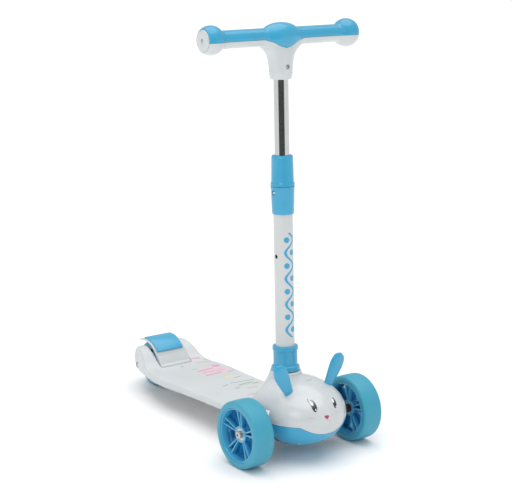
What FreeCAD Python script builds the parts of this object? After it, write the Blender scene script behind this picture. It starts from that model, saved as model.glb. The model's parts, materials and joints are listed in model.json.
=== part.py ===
import FreeCAD, Part
import Sketcher
import math
import os
from FreeCAD import Placement, Rotation, Vector

# A child's three-wheel kick scooter, in millimetres.
# Frame: the rider faces -Y, +X is the rider's left and +Z is up.
# The origin is on the ground, under the middle of the scooter's outer box.

doc = FreeCAD.newDocument("kick_scooter")
sheet = doc.addObject("Spreadsheet::Sheet", "Sizes")

SIZES = {
    # wheels and their bearings
    "wheelbase": 463,
    "front_track": 241,
    "front_wheel_dia": 120,
    "front_wheel_width": 40,
    "rear_wheel_dia": 90,
    "rear_wheel_width": 36,
    "tyre_thickness": 12,
    "tyre_shoulder": 6,
    "rim_wall": 4,
    "web_thickness": 9,
    "boss_wall": 4,
    "bearing_dia": 22,
    "bearing_bore": 8,
    "bearing_width": 7,
    "bearing_spacing": 8,
    "axle_head_dia": 13,
    "axle_head_height": 5,
    # fits
    "running_clearance": 0.05,
    "side_gap": 0.5,
    "seam_gap": 0.3,
    # steering column
    "rake_angle": 2.77,
    "column_foot": 38,
    "tube_dia": 34.4,
    "tube_wall": 2,
    "tube_bottom": 98,
    "tube_top": 512,
    "chrome_dia": 26,
    "chrome_wall": 1.5,
    "chrome_bottom": 430,
    "collar_bottom": 142,
    "collar_top": 187,
    "collar_dia": 43,
    "collar_flare_dia": 52,
    "sleeve_bottom": 424,
    "sleeve_seam": 472.6,
    "sleeve_top": 527,
    "sleeve_foot_wall": 2,
    "sleeve_waist_wall": 4,
    "sleeve_neck_wall": 0.8,
    "height_travel": 113,
    "button_height": 462,
    "button_dia": 7.6,
    "button_play": 0.2,
    "button_recess": 1.5,
    "bush_length": 30,
    # handlebar
    "bar_height": 731,
    "bar_width": 324,
    "bar_tube_dia": 16,
    "bar_tube_wall": 1.5,
    "grip_dia": 31,
    "bulb_dia": 50,
    "bulb_offset": 17.3,
    "hub_half_width": 54,
    "hub_half_depth": 24,
    "hub_half_height": 24,
    "neck_length": 73,
    "neck_dia": 42,
    "handle_wall": 3,
    "seam_drop": 4,
    "seam_dip": 15,
    "seam_dip_half": 42,
    "cap_thickness": 3,
    # deck
    "deck_front": 46,
    "deck_end": 484,
    "deck_half_front": 71,
    "deck_half_wide": 80.5,
    "deck_half_tail": 50,
    "deck_thickness": 15,
    "deck_wall": 3,
    "deck_top": 66,
    "deck_slope": 1.8,
    "deck_edge_round": 5,
    "rib_thickness": 2,
    "tray_thickness": 2,
    "well_half_width": 35,
    "well_front": 396,
    "cheek_rise": 59,
    "cheek_radius": 25,
    "beam_half_width": 20,
    "beam_depth": 8,
    "beam_wall": 1.5,
    # neck of the deck, a socket for the column
    "socket_wall": 4,
    "socket_rim_radius": 28,
    "floor_height": 95,
    "floor_thickness": 3,
    # head
    "head_half_width": 83,
    "head_half_length": 96,
    "head_half_height": 60,
    "head_offset": 12,
    "head_height": 78,
    "cover_wall": 2.5,
    "chin_line": 74,
    "chin_dip": 15.5,
    "chin_dip_half": 50,
    "ear_length": 60,
    "ear_width": 27,
    "ear_thickness": 9,
    "ear_base_x": 43.5,
    "ear_base_y": -22,
    "ear_base_z": 124,
    "ear_splay": 20,
    "ear_nod": 8,
    # front truck
    "pivot_height": 66,
    "lean_pin_dia": 10,
    "kingpin_x": 82,
    "kingpin_dia": 8,
    "truck_beam_height": 12,
    "truck_beam_depth": 18,
    "truck_boss_dia": 24,
    "clevis_bottom": 44,
    "clevis_top": 78,
    "clevis_ear": 5,
    "lean_room": 17,
    "knuckle_dia": 16,
    "steer_arm": 24,
    "tie_height": 41,
    "tie_thickness": 4,
    "tie_pin_dia": 6,
    "tie_play": 0.8,
    "peg_dia": 8,
    "peg_play": 1.2,
    "bracket_wall": 3,
    "bracket_half_width": 46,
    "bracket_ear_half": 12,
    "buffer_dia": 16,
    "buffer_x": 31,
    # brake
    "fender_gap": 6,
    "fender_wall": 5,
    "fender_half_width": 34,
    "pad_thickness": 3.5,
    "pad_half_width": 24,
    "pad_front": 419,
    "pad_rear": 477,
    "shoe_thickness": 1.5,
    "hinge_y": 404,
    "hinge_z": 54,
    "hinge_pin_dia": 5,
}

for row, (alias, number) in enumerate(SIZES.items(), start=1):
    sheet.set(f"A{row}", alias)
    sheet.set(f"B{row}", str(number))
    sheet.setAlias(f"B{row}", alias)
doc.recompute()


class Size:
    """A number that follows the sheet: its expression, and its value now."""

    def __init__(self, text, value):
        self.text = text
        self.value = value

    def __float__(self):
        return float(self.value)

    def __neg__(self):
        return Size(f"(-{self.text})", -self.value)

    def __add__(self, other):
        other = as_size(other)
        return Size(f"({self.text} + {other.text})", self.value + other.value)

    def __sub__(self, other):
        other = as_size(other)
        return Size(f"({self.text} - {other.text})", self.value - other.value)

    def __mul__(self, other):
        other = as_size(other)
        return Size(f"({self.text} * {other.text})", self.value * other.value)

    def __truediv__(self, other):
        other = as_size(other)
        return Size(f"({self.text} / {other.text})", self.value / other.value)

    def __radd__(self, other):
        return as_size(other) + self

    def __rsub__(self, other):
        return as_size(other) - self

    def __rmul__(self, other):
        return as_size(other) * self


def as_size(number):
    """Any number as a Size."""
    if isinstance(number, Size):
        return number
    return Size(f"({float(number):.9g})", float(number))


def size(alias):
    """One cell of the sheet."""
    return Size(f"Sizes.{alias}", float(sheet.get(alias)))


def num(alias):
    """One cell of the sheet as a plain number."""
    return float(sheet.get(alias))


# Places that several pieces share.
REAR_RADIUS = size("rear_wheel_dia") / 2
HEAD_REACH = size("head_half_length") - size("head_offset")
AXLE_Y = (HEAD_REACH - size("wheelbase") - REAR_RADIUS) / 2
AXLE_Z = size("front_wheel_dia") / 2
REAR_Y = AXLE_Y + size("wheelbase")
REAR_Z = REAR_RADIUS
COLUMN_Y = AXLE_Y + size("column_foot")
BOLT_RADIUS = size("bearing_bore") / 2 - size("running_clearance")
SCREW_RADIUS = 1.5
TUBE_RADIUS = size("tube_dia") / 2
TUBE_BORE = TUBE_RADIUS - size("tube_wall")
CHROME_RADIUS = size("chrome_dia") / 2
CHROME_BORE = CHROME_RADIUS - size("chrome_wall")

X_AXIS = Vector(1, 0, 0)
Y_AXIS = Vector(0, 1, 0)
Z_AXIS = Vector(0, 0, 1)

nodes = []


# ---------------------------------------------------------------- helpers

def place(thing, x=0, y=0, z=0, axis=Z_AXIS, angle=0):
    """Put an object at x, y, z, turned about an axis, and bind what follows the sheet."""
    base = Vector(float(x), float(y), float(z))
    thing.Placement = Placement(base, Rotation(axis, float(angle)))
    for letter, amount in zip("xyz", (x, y, z)):
        if isinstance(amount, Size):
            thing.setExpression(f"Placement.Base.{letter}", amount.text)
    if isinstance(angle, Size):
        thing.setExpression("Placement.Rotation.Angle", angle.text)
    return thing


def on_column(thing):
    """Stand an object on the raked steering column, where its Z axis is the tube's axis."""
    place(thing, y=COLUMN_Y, axis=-X_AXIS, angle=size("rake_angle"))
    return thing


def keep(thing, name):
    """Mark an object as a node that is written to its own file."""
    thing.Label = name
    nodes.append(thing)
    return thing


def new_sketch(body, role, name):
    """A sketch on one of a body's own planes."""
    sketch = body.newObject("Sketcher::SketchObject", name)
    plane = next(item for item in body.Origin.OriginFeatures if item.Role == role)
    sketch.AttachmentSupport = (plane, "")
    sketch.MapMode = "FlatFace"
    return sketch


def pin_point(sketch, item, end, point):
    """Fix a sketch point at a place that follows the sheet."""
    for kind, amount, axis in (("DistanceX", point[0], -2), ("DistanceY", point[1], -1)):
        if float(amount) == 0:
            sketch.addConstraint(Sketcher.Constraint("PointOnObject", item, end, axis))
            continue
        index = sketch.addConstraint(Sketcher.Constraint(kind, -1, 1, item, end, float(amount)))
        if isinstance(amount, Size):
            sketch.setExpression(f"Constraints[{index}]", amount.text)


def add_polygon(sketch, points):
    """A closed outline of straight lines through the points."""
    first = sketch.GeometryCount
    count = len(points)
    corners = [Vector(float(u), float(v), 0) for u, v in points]
    for i in range(count):
        sketch.addGeometry(Part.LineSegment(corners[i], corners[(i + 1) % count]), False)
    for i in range(count):
        after = first + (i + 1) % count
        sketch.addConstraint(Sketcher.Constraint("Coincident", first + i, 2, after, 1))
        pin_point(sketch, first + i, 1, points[i])


def add_circle(sketch, centre, radius):
    """A circle with its centre and radius bound."""
    middle = Vector(float(centre[0]), float(centre[1]), 0)
    item = sketch.addGeometry(Part.Circle(middle, Z_AXIS, float(radius)), False)
    pin_point(sketch, item, 3, centre)
    index = sketch.addConstraint(Sketcher.Constraint("Radius", item, float(radius)))
    if isinstance(radius, Size):
        sketch.setExpression(f"Constraints[{index}]", radius.text)


def turned(name, profile):
    """A turned body: the profile is (radius, height) pairs about its Z axis."""
    body = doc.addObject("PartDesign::Body", name)
    sketch = new_sketch(body, "XZ_Plane", name + "_profile")
    add_polygon(sketch, profile)
    turn = body.newObject("PartDesign::Revolution", name + "_turn")
    turn.Profile = sketch
    turn.ReferenceAxis = (sketch, ["V_Axis"])
    turn.Angle = 360
    return body


def sleeve(name, inner, outer, low, high):
    """A plain tube, bush or washer along its Z axis."""
    return turned(name, [(inner, low), (outer, low), (outer, high), (inner, high)])


def rod(name, radius, low, high):
    """A plain pin along its Z axis."""
    return turned(name, [(0, low), (radius, low), (radius, high), (0, high)])


def headed(name, shank, low, head_radius, head_low, head_high):
    """A bolt or screw along its Z axis: a shank from low up to a head."""
    profile = [(0, low), (shank, low), (shank, head_low), (head_radius, head_low),
               (head_radius, head_high), (0, head_high)]
    return turned(name, profile)


def padded(name, role, outline, length, holes=(), midplane=False):
    """A plate: an outline with round holes, padded off one of the body's planes."""
    body = doc.addObject("PartDesign::Body", name)
    sketch = new_sketch(body, role, name + "_outline")
    add_polygon(sketch, outline)
    for centre, radius in holes:
        add_circle(sketch, centre, radius)
    pad = body.newObject("PartDesign::Pad", name + "_pad")
    pad.Profile = sketch
    pad.Length = float(length)
    if isinstance(length, Size):
        pad.setExpression("Length", length.text)
    pad.Midplane = midplane
    return body


def group(name, members):
    """Identical or joined pieces that share one node."""
    pack = doc.addObject("Part::Compound", name)
    pack.Links = members
    return keep(pack, name)


def fused(name, members):
    """One moulding made of several objects."""
    whole = doc.addObject("Part::MultiFuse", name)
    whole.Shapes = members
    whole.Refine = True
    return whole


def cut(name, base, tool):
    """One object with another taken out of it."""
    result = doc.addObject("Part::Cut", name)
    result.Base = base
    result.Tool = tool
    return result


def free_form(name, shape):
    """A curved shell whose shape comes from surface and solid operations."""
    thing = doc.addObject("Part::Feature", name)
    thing.Shape = shape
    return keep(thing, name)


def box(x0, x1, y0, y1, z0, z1):
    """A solid box between two corners."""
    return Part.makeBox(x1 - x0, y1 - y0, z1 - z0, Vector(x0, y0, z0))


def drum(radius, x, y, z, axis, length):
    """A solid cylinder from a point along an axis."""
    return Part.makeCylinder(radius, length, Vector(x, y, z), axis)


def on_column_shape(shape):
    """A shape in the column's own frame, moved to the raked column."""
    moved = shape.copy()
    tilt = Placement(Vector(0, float(COLUMN_Y), 0), Rotation(-X_AXIS, num("rake_angle")))
    moved.Placement = tilt.multiply(moved.Placement)
    return moved


def ellipsoid(centre, half_x, half_y, half_z):
    """A solid ellipsoid with its axes along X, Y and Z."""
    grow = FreeCAD.Matrix(half_x, 0, 0, centre.x, 0, half_y, 0, centre.y, 0, 0, half_z, centre.z)
    return Part.makeSphere(1).transformGeometry(grow)


def ellipse_wire(half_x, half_y, y, z):
    """A level ellipse, as a wire."""
    centre = Vector(0, y, z)
    if abs(half_x - half_y) < 0.001:
        curve = Part.Circle(centre, Z_AXIS, half_x)
    elif half_x > half_y:
        curve = Part.Ellipse(centre + Vector(half_x, 0, 0), centre + Vector(0, half_y, 0), centre)
    else:
        curve = Part.Ellipse(centre + Vector(0, half_y, 0), centre - Vector(half_x, 0, 0), centre)
    return Part.Wire([curve.toShape()])


# ---------------------------------------------------------------- wheels

SPOKE_PAIRS = 5
BORE_RADIUS = size("bearing_bore") / 2
BEARING_RADIUS = size("bearing_dia") / 2
BOSS_RADIUS = BEARING_RADIUS + size("boss_wall")


def wheel(label, radius, width, x, y, z, turn):
    """A cast tyre on a spoked hub, with a bearing set: two ball bearings and their spacer."""
    half = width / 2
    bead = radius - size("tyre_thickness")
    shoulder = size("tyre_shoulder")
    tyre = turned("tyre_" + label, [
        (bead, -half), (radius - shoulder, -half), (radius - shoulder * 0.3, shoulder * 0.3 - half),
        (radius, shoulder - half), (radius, half - shoulder),
        (radius - shoulder * 0.3, half - shoulder * 0.3), (radius - shoulder, half), (bead, half)])
    keep(place(tyre, x, y, z, Y_AXIS, turn), "tyre_" + label)

    rim_inside = bead - size("rim_wall")
    rim_half = half - 2
    web = size("web_thickness")
    web_low = -web / 2
    span = size("bearing_spacing") / 2
    seat = span + size("bearing_width")
    hub = turned("hub_" + label, [
        (BEARING_RADIUS, -seat), (BOSS_RADIUS, -seat), (BOSS_RADIUS, web_low), (rim_inside, web_low),
        (rim_inside, -rim_half), (bead, -rim_half), (bead, rim_half), (rim_inside, rim_half),
        (rim_inside, web / 2), (BOSS_RADIUS, web / 2), (BOSS_RADIUS, seat), (BEARING_RADIUS, seat),
        (BEARING_RADIUS, span), (BORE_RADIUS + 3, span), (BORE_RADIUS + 3, -span),
        (BEARING_RADIUS, -span)])
    doc.recompute()
    cut_windows(hub, label, BOSS_RADIUS + 2, rim_inside - 1)
    keep(place(hub, x, y, z, Y_AXIS, turn), "hub_" + label)

    bearings = []
    for name, low in (("inner", -seat), ("outer", span)):
        race = sleeve(f"bearing_{label}_{name}", BORE_RADIUS, BEARING_RADIUS, low,
                      low + size("bearing_width"))
        bearings.append(place(race, x, y, z, Y_AXIS, turn))
    spacer = sleeve("bearing_spacer_" + label, BORE_RADIUS, BORE_RADIUS + 2, -span, span)
    bearings.append(place(spacer, x, y, z, Y_AXIS, turn))
    group("bearings_" + label, bearings)


def cut_windows(hub, label, low, high):
    """Openings through a hub's web: five wide ones, and a narrow one in each pair of ribs."""
    for kind, middle, half_low, half_high in (("wide", 0, 17, 21.5), ("narrow", 36, 6, 5)):
        sketch = new_sketch(hub, "XY_Plane", f"{label}_{kind}_window")
        corners = []
        for radius, angle in ((low, -half_low), (high, -half_high), (high, 0), (high, half_high),
                              (low, half_low)):
            direction = math.radians(middle + angle)
            corners.append((radius * math.cos(direction), radius * math.sin(direction)))
        add_polygon(sketch, corners)
        pocket = hub.newObject("PartDesign::Pocket", f"{label}_{kind}_pocket")
        pocket.Profile = sketch
        pocket.Type = "ThroughAll"
        pocket.Midplane = True
        doc.recompute()
        ring = hub.newObject("PartDesign::PolarPattern", f"{label}_{kind}_ring")
        ring.Originals = [pocket]
        ring.Axis = (sketch, ["N_Axis"])
        ring.Angle = 360
        ring.Occurrences = SPOKE_PAIRS
        hub.Tip = ring
        doc.recompute()


TRACK_HALF = size("front_track") / 2
SIDES = (("left", 1), ("right", -1))
for side, sign in SIDES:
    wheel("front_" + side, size("front_wheel_dia") / 2, size("front_wheel_width"),
          TRACK_HALF * sign, AXLE_Y, AXLE_Z, 90 * sign)
wheel("rear", REAR_RADIUS, size("rear_wheel_width"), 0, REAR_Y, REAR_Z, 90)


# ---------------------------------------------------------------- front truck

KINGPIN_X = size("kingpin_x")
BRACKET_TOP = size("floor_height")
BRACKET_LOW = BRACKET_TOP - size("bracket_wall")
PIVOT_Z = size("pivot_height")
BEAM_HALF_Y = size("truck_beam_depth") / 2
BOSS_HALF_Y = BEAM_HALF_Y + 1
EAR_NEAR = BOSS_HALF_Y + size("side_gap")
EAR_FAR = EAR_NEAR + size("bracket_wall")
LEAN_RADIUS = size("lean_pin_dia") / 2
TIE_Y = AXLE_Y + size("steer_arm")
KING_RADIUS = size("kingpin_dia") / 2
KNUCKLE_RADIUS = size("knuckle_dia") / 2
BARREL_LOW = size("clevis_bottom") + size("clevis_ear") + size("side_gap")
BARREL_HIGH = size("clevis_top") - size("clevis_ear") - size("side_gap")
HUB_SEAT = size("bearing_spacing") / 2 + size("bearing_width")
STUB_END = TRACK_HALF - HUB_SEAT - size("side_gap")


def axle_beam():
    """The black cross beam: a boss on the lean pin and a clevis for a kingpin at each end."""
    half_z = num("truck_beam_height") / 2
    depth = float(BEAM_HALF_Y)
    pivot_z = float(PIVOT_Z)
    cheek_x = num("kingpin_x") - float(KNUCKLE_RADIUS) - 2
    outer_x = num("kingpin_x") + float(KNUCKLE_RADIUS)
    low = num("clevis_bottom")
    high = num("clevis_top")
    ear = num("clevis_ear")
    centre_y = float(AXLE_Y)
    body = box(-cheek_x, cheek_x, centre_y - depth, centre_y + depth, pivot_z - half_z, pivot_z + half_z)
    boss_half = float(BOSS_HALF_Y)
    boss = drum(num("truck_boss_dia") / 2, 0, centre_y - boss_half, pivot_z, Y_AXIS, 2 * boss_half)
    parts = [boss]
    for _, sign in SIDES:
        near = min(sign * (cheek_x - 6), sign * cheek_x)
        far = max(sign * (cheek_x - 6), sign * cheek_x)
        parts.append(box(near, far, centre_y - depth, centre_y + depth, low, high))
        for level in (low, high - ear):
            inner = min(sign * (cheek_x - 3), sign * (outer_x - depth))
            outer = max(sign * (cheek_x - 3), sign * (outer_x - depth))
            parts.append(box(inner, outer, centre_y - depth, centre_y + depth, level, level + ear))
            parts.append(drum(depth, sign * (outer_x - depth), centre_y, level, Z_AXIS, ear))
    body = body.multiFuse(parts).removeSplitter()
    bore = float(LEAN_RADIUS) + num("running_clearance")
    body = body.cut(drum(bore, 0, centre_y - 20, pivot_z, Y_AXIS, 40))
    for _, sign in SIDES:
        body = body.cut(drum(float(KING_RADIUS), sign * num("kingpin_x"), centre_y, 0, Z_AXIS, 120))
    return body


free_form("axle_beam", axle_beam())


def knuckle(sign):
    """A steering knuckle: a barrel on the kingpin, a stub for the axle bolt and a rear arm."""
    centre_y = float(AXLE_Y)
    x = sign * num("kingpin_x")
    low = float(BARREL_LOW)
    high = float(BARREL_HIGH)
    stub = float(KNUCKLE_RADIUS)
    body = drum(stub, x, centre_y, low, Z_AXIS, high - low)
    length = float(STUB_END) - num("kingpin_x")
    body = body.fuse(drum(stub, x, centre_y, float(AXLE_Z), X_AXIS * sign, length))
    arm_low = low + 0.5
    arm_thick = 5
    arm_half = 5
    reach = num("steer_arm")
    arm = box(x - arm_half, x + arm_half, centre_y, centre_y + reach, arm_low, arm_low + arm_thick)
    body = body.fuse(arm)
    body = body.fuse(drum(arm_half, x, centre_y + reach, arm_low, Z_AXIS, arm_thick))
    pin_low = num("tie_height") - num("tie_thickness") / 2 - 2
    pin_length = arm_low - pin_low + 1
    body = body.fuse(drum(num("tie_pin_dia") / 2, x, centre_y + reach, pin_low, Z_AXIS, pin_length))
    bore = float(KING_RADIUS) + num("running_clearance")
    body = body.cut(drum(bore, x, centre_y, low - 1, Z_AXIS, high - low + 2))
    start = x + sign * (float(KING_RADIUS) + 2)
    body = body.cut(drum(float(BOLT_RADIUS), start, centre_y, float(AXLE_Z), X_AXIS * sign, length))
    return body.removeSplitter()


for side, sign in SIDES:
    free_form("knuckle_" + side, knuckle(sign))
    head_low = size("clevis_top")
    king = headed("kingpin_" + side, KING_RADIUS, size("clevis_bottom") - 3, KING_RADIUS + 2,
                  head_low, head_low + 2)
    keep(place(king, KINGPIN_X * sign, AXLE_Y, 0), "kingpin_" + side)
    bolt_low = KINGPIN_X + KING_RADIUS + 2 - TRACK_HALF
    bolt_head = HUB_SEAT + size("side_gap")
    bolt = headed("axle_bolt_" + side, BOLT_RADIUS, bolt_low, size("axle_head_dia") / 2, bolt_head,
                  bolt_head + size("axle_head_height"))
    keep(place(bolt, TRACK_HALF * sign, AXLE_Y, AXLE_Z, Y_AXIS, 90 * sign), "axle_bolt_front_" + side)

circlips = []
for side, sign in SIDES:
    clip_low = size("clevis_bottom") - 2
    clip = sleeve("circlip_" + side, KING_RADIUS, KING_RADIUS + 2.5, clip_low, size("clevis_bottom") - 0.5)
    circlips.append(place(clip, KINGPIN_X * sign, AXLE_Y, 0))
group("kingpin_circlips", circlips)

TIE_HALF_WIDTH = 5
EYE_RADIUS = size("peg_dia") / 2 + size("peg_play")
tie_outline = [(-KINGPIN_X - 6, -TIE_HALF_WIDTH), (-9, -TIE_HALF_WIDTH), (-5, -9), (5, -9),
               (9, -TIE_HALF_WIDTH), (KINGPIN_X + 6, -TIE_HALF_WIDTH), (KINGPIN_X + 6, TIE_HALF_WIDTH),
               (9, TIE_HALF_WIDTH), (5, 9), (-5, 9), (-9, TIE_HALF_WIDTH),
               (-KINGPIN_X - 6, TIE_HALF_WIDTH)]
tie_hole = size("tie_pin_dia") / 2 + size("tie_play")
tie_rod = padded("tie_rod", "XY_Plane", tie_outline, size("tie_thickness"),
                 [((-KINGPIN_X, 0), tie_hole), ((KINGPIN_X, 0), tie_hole), ((0, 0), EYE_RADIUS)])
keep(place(tie_rod, 0, TIE_Y, size("tie_height") - size("tie_thickness") / 2), "tie_rod")


BRACKET_SCREW_RADIUS = 2.5
BRACKET_SCREW_LENGTH = 9


def truck_bracket():
    """The folded steel bracket under the neck: a top plate and two ears for the lean pin."""
    centre_y = float(AXLE_Y)
    half = num("bracket_half_width")
    low = float(BRACKET_LOW)
    wall = num("bracket_wall")
    rear = float(COLUMN_Y) + num("tube_dia") / 2 + 12
    plate = box(-half, half, centre_y - 22, rear, low, low + wall)
    ear = num("bracket_ear_half")
    pivot_z = float(PIVOT_Z)
    parts = []
    for sign in (1, -1):
        near = centre_y + sign * float(EAR_NEAR)
        far = centre_y + sign * float(EAR_FAR)
        start = min(near, far)
        parts.append(box(-ear, ear, start, start + wall, pivot_z, low))
        parts.append(drum(ear, 0, start, pivot_z, Y_AXIS, wall))
    body = plate.multiFuse(parts).removeSplitter()
    body = body.cut(drum(float(LEAN_RADIUS), 0, centre_y - 40, pivot_z, Y_AXIS, 80))
    body = body.cut(drum(num("peg_dia") / 2, 0, float(TIE_Y), low - 5, Z_AXIS, 20))
    for x, y in BRACKET_HOLES:
        body = body.cut(drum(BRACKET_SCREW_RADIUS, x, y, low - 5, Z_AXIS, 20))
    bolt_hole = on_column_shape(drum(4, 0, 0, low - 20, Z_AXIS, 60))
    return body.cut(bolt_hole)


BRACKET_HOLE_X = num("bracket_half_width") - 6
BRACKET_HOLES = [(x, float(AXLE_Y) + y) for x in (-BRACKET_HOLE_X, BRACKET_HOLE_X) for y in (-15, 50)]
free_form("truck_bracket", truck_bracket())

screws = []
for index, (x, y) in enumerate(BRACKET_HOLES):
    screw = headed(f"bracket_screw_{index}", BRACKET_SCREW_RADIUS, -BRACKET_SCREW_LENGTH, 4.5, 0, 3)
    screws.append(place(screw, x, y, BRACKET_LOW, X_AXIS, 180))
group("bracket_screws", screws)

peg_low = size("tie_height") - size("tie_thickness") / 2 - 3
peg = rod("steering_peg", size("peg_dia") / 2, peg_low, BRACKET_TOP)
keep(place(peg, 0, TIE_Y, 0), "steering_peg")

pin_reach = EAR_FAR + 6
lean_pin = headed("lean_pin", LEAN_RADIUS, -pin_reach, LEAN_RADIUS + 3.5, EAR_FAR, EAR_FAR + 4)
keep(place(lean_pin, 0, AXLE_Y, PIVOT_Z, X_AXIS, 90), "lean_pin")
nut_outline = [(8 * math.cos(math.radians(60 * i)), 8 * math.sin(math.radians(60 * i))) for i in range(6)]
lean_nut = padded("lean_pin_nut", "XZ_Plane", nut_outline, 5, [((0, 0), LEAN_RADIUS)])
keep(place(lean_nut, 0, AXLE_Y + EAR_FAR + 5, PIVOT_Z), "lean_pin_nut")

BUFFER_LOW = PIVOT_Z + size("truck_beam_height") / 2 + size("seam_gap")
for side, sign in SIDES:
    buffer = sleeve("rubber_buffer_" + side, 3, size("buffer_dia") / 2, BUFFER_LOW, BRACKET_LOW)
    keep(place(buffer, size("buffer_x") * sign, AXLE_Y, 0), "rubber_buffer_" + side)


# ---------------------------------------------------------------- deck

AXLE_SEAT = num("deck_half_tail") - 6
TILT = Rotation(X_AXIS, -num("deck_slope"))
TILT_Y = float(AXLE_Y) + 100
INNER_FLOOR = num("floor_height")


def outline_face(inset, front, rear):
    """The deck's plan shape, seen from above, drawn in by an inset."""
    start = float(AXLE_Y)
    wide = num("deck_half_wide")
    tail = num("deck_half_tail")
    length = num("deck_end") - num("deck_front")
    stations = [(0, num("deck_half_front")), (0.45, wide - 6), (0.66, wide - 0.5), (0.76, wide - 3),
                (0.85, wide - 13), (0.93, tail + 6.5), (1, tail - 3)]
    right = []
    for share, half in stations:
        y = start + num("deck_front") + share * length
        right.append(Vector(half - inset, y, 0))
    right[0].y = front
    right[-1].y = rear
    left = [Vector(-point.x, point.y, 0) for point in reversed(right)]
    flank = Part.BSplineCurve()
    flank.interpolate(right)
    other = Part.BSplineCurve()
    other.interpolate(left)
    edges = [flank.toShape(), Part.makeLine(right[-1], left[0]), other.toShape(),
             Part.makeLine(left[-1], right[0])]
    return Part.Face(Part.Wire(edges))


def tilted(shape):
    """A shape drawn flat, its top at height 0, moved onto the deck's gentle slope."""
    moved = shape.copy()
    pivot = Placement(Vector(0, TILT_Y, num("deck_top")), TILT)
    moved.Placement = pivot.multiply(Placement(Vector(0, -TILT_Y, 0), Rotation())).multiply(moved.Placement)
    return moved


def neck_solid(inset, low, high):
    """The flared neck round the column's foot, drawn in by an inset."""
    y = float(COLUMN_Y)
    rim = num("socket_rim_radius")
    front = num("deck_half_front")
    rake = math.tan(math.radians(num("rake_angle")))
    levels = [(num("collar_bottom"), rim, rim), (num("collar_bottom") - 17, rim + 11, rim + 11),
              (num("collar_bottom") - 37, rim + 25, rim + 24), (num("deck_top") + 14, front - 5, rim + 39),
              (num("deck_top") - 8, front + 1, rim + 46)]
    wires = [ellipse_wire(half_x - inset, half_y - inset, y + rake * z, z) for z, half_x, half_y in levels]
    return Part.makeLoft(wires, True).common(box(-200, 200, y - 200, y + 200, low, high))


def cheek_face():
    """The side view of the two cheeks that hold the rear axle."""
    y0 = float(AXLE_Y) + num("well_front") - 8
    centre_y = float(AXLE_Y) + num("deck_end") - num("cheek_radius")
    centre_z = num("cheek_rise")
    radius = num("cheek_radius")
    top = Vector(0, centre_y - radius * 0.5, centre_z + radius * 0.866)
    end = Vector(0, centre_y + radius, centre_z)
    under = Vector(0, centre_y, centre_z - radius)
    low_z = deck_level(y0) - num("deck_thickness")
    first = Vector(0, y0, low_z)
    last = Vector(0, y0, deck_level(y0))
    arc = Part.Arc(top, end, under).toShape()
    return Part.Face(Part.Wire([Part.makeLine(last, top), arc, Part.makeLine(under, first),
                                Part.makeLine(first, last)]))


def deck_level(y):
    """The height of the deck's top at a place along it."""
    return num("deck_top") - (y - TILT_Y) * math.tan(math.radians(num("deck_slope")))


def deck_outer():
    """The deck's outside: platform, neck and rear cheeks."""
    start = float(AXLE_Y)
    thick = num("deck_thickness")
    slab = outline_face(0, start + num("deck_front"), start + num("deck_end")).extrude(Vector(0, 0, -thick))
    top_edges = [edge for edge in slab.Edges if abs(edge.BoundBox.ZMin) < 1e-6]
    slab = tilted(slab.makeFillet(num("deck_edge_round"), top_edges))
    rear_limit = start + num("well_front") + 20
    slab = slab.common(box(-200, 200, start, rear_limit, 0, 200))
    plan = outline_face(0, start + num("deck_front"), start + num("deck_end")).extrude(Vector(0, 0, 200))
    cheeks = cheek_face().extrude(Vector(200, 0, 0))
    cheeks.translate(Vector(-100, 0, 0))
    cheeks = cheeks.common(plan)
    neck = neck_solid(0, num("deck_top") - 8, num("collar_bottom"))
    return slab.multiFuse([cheeks, neck])


def deck_inside():
    """The space under the deck's skin."""
    start = float(AXLE_Y)
    wall = num("deck_wall")
    rear = start + num("well_front") - 10
    hollow = outline_face(wall, start + num("deck_front") + wall, start + num("deck_end"))
    hollow = tilted(hollow.extrude(Vector(0, 0, -40)))
    hollow.translate(Vector(0, 0, -wall))
    hollow = hollow.common(box(-200, 200, start, rear, 0, 200))
    neck = neck_solid(wall, num("deck_top") - 8, num("collar_bottom") - 6)
    return hollow.fuse(neck)


def deck_frame():
    """Ribs, the neck's floor and the column socket, before they are trimmed to the skin."""
    start = float(AXLE_Y)
    thin = num("rib_thickness")
    parts = []
    spine = num("beam_half_width") + thin
    for x in (-spine - 28, -spine, spine, spine + 28):
        parts.append(box(x - thin / 2, x + thin / 2, start + 62, start + num("well_front") - 9, 0, 100))
    gap = (num("well_front") - 130) / 5
    for step in range(6):
        y = start + 118 + step * gap
        parts.append(box(-150, 150, y - thin / 2, y + thin / 2, 0, 100))
    ribs = parts[0].multiFuse(parts[1:])
    rib_depth = num("deck_thickness") - num("tray_thickness") - 1
    under = tilted(box(-200, 200, start, start + 500, -60, -rib_depth))
    ribs = ribs.cut(under)
    channel = box(-num("beam_half_width") - 0.3, num("beam_half_width") + 0.3, start + 60, start + 400,
                  -60, num("beam_depth") - rib_depth)
    ribs = ribs.cut(tilted(channel))
    floor = box(-100, 100, start - 30, start + 130, INNER_FLOOR, INNER_FLOOR + num("floor_thickness"))
    socket_radius = num("tube_dia") / 2 + num("socket_wall")
    socket_length = num("collar_bottom") - INNER_FLOOR
    socket = on_column_shape(drum(socket_radius, 0, 0, INNER_FLOOR, Z_AXIS, socket_length))
    return ribs.multiFuse([floor, socket])


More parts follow.
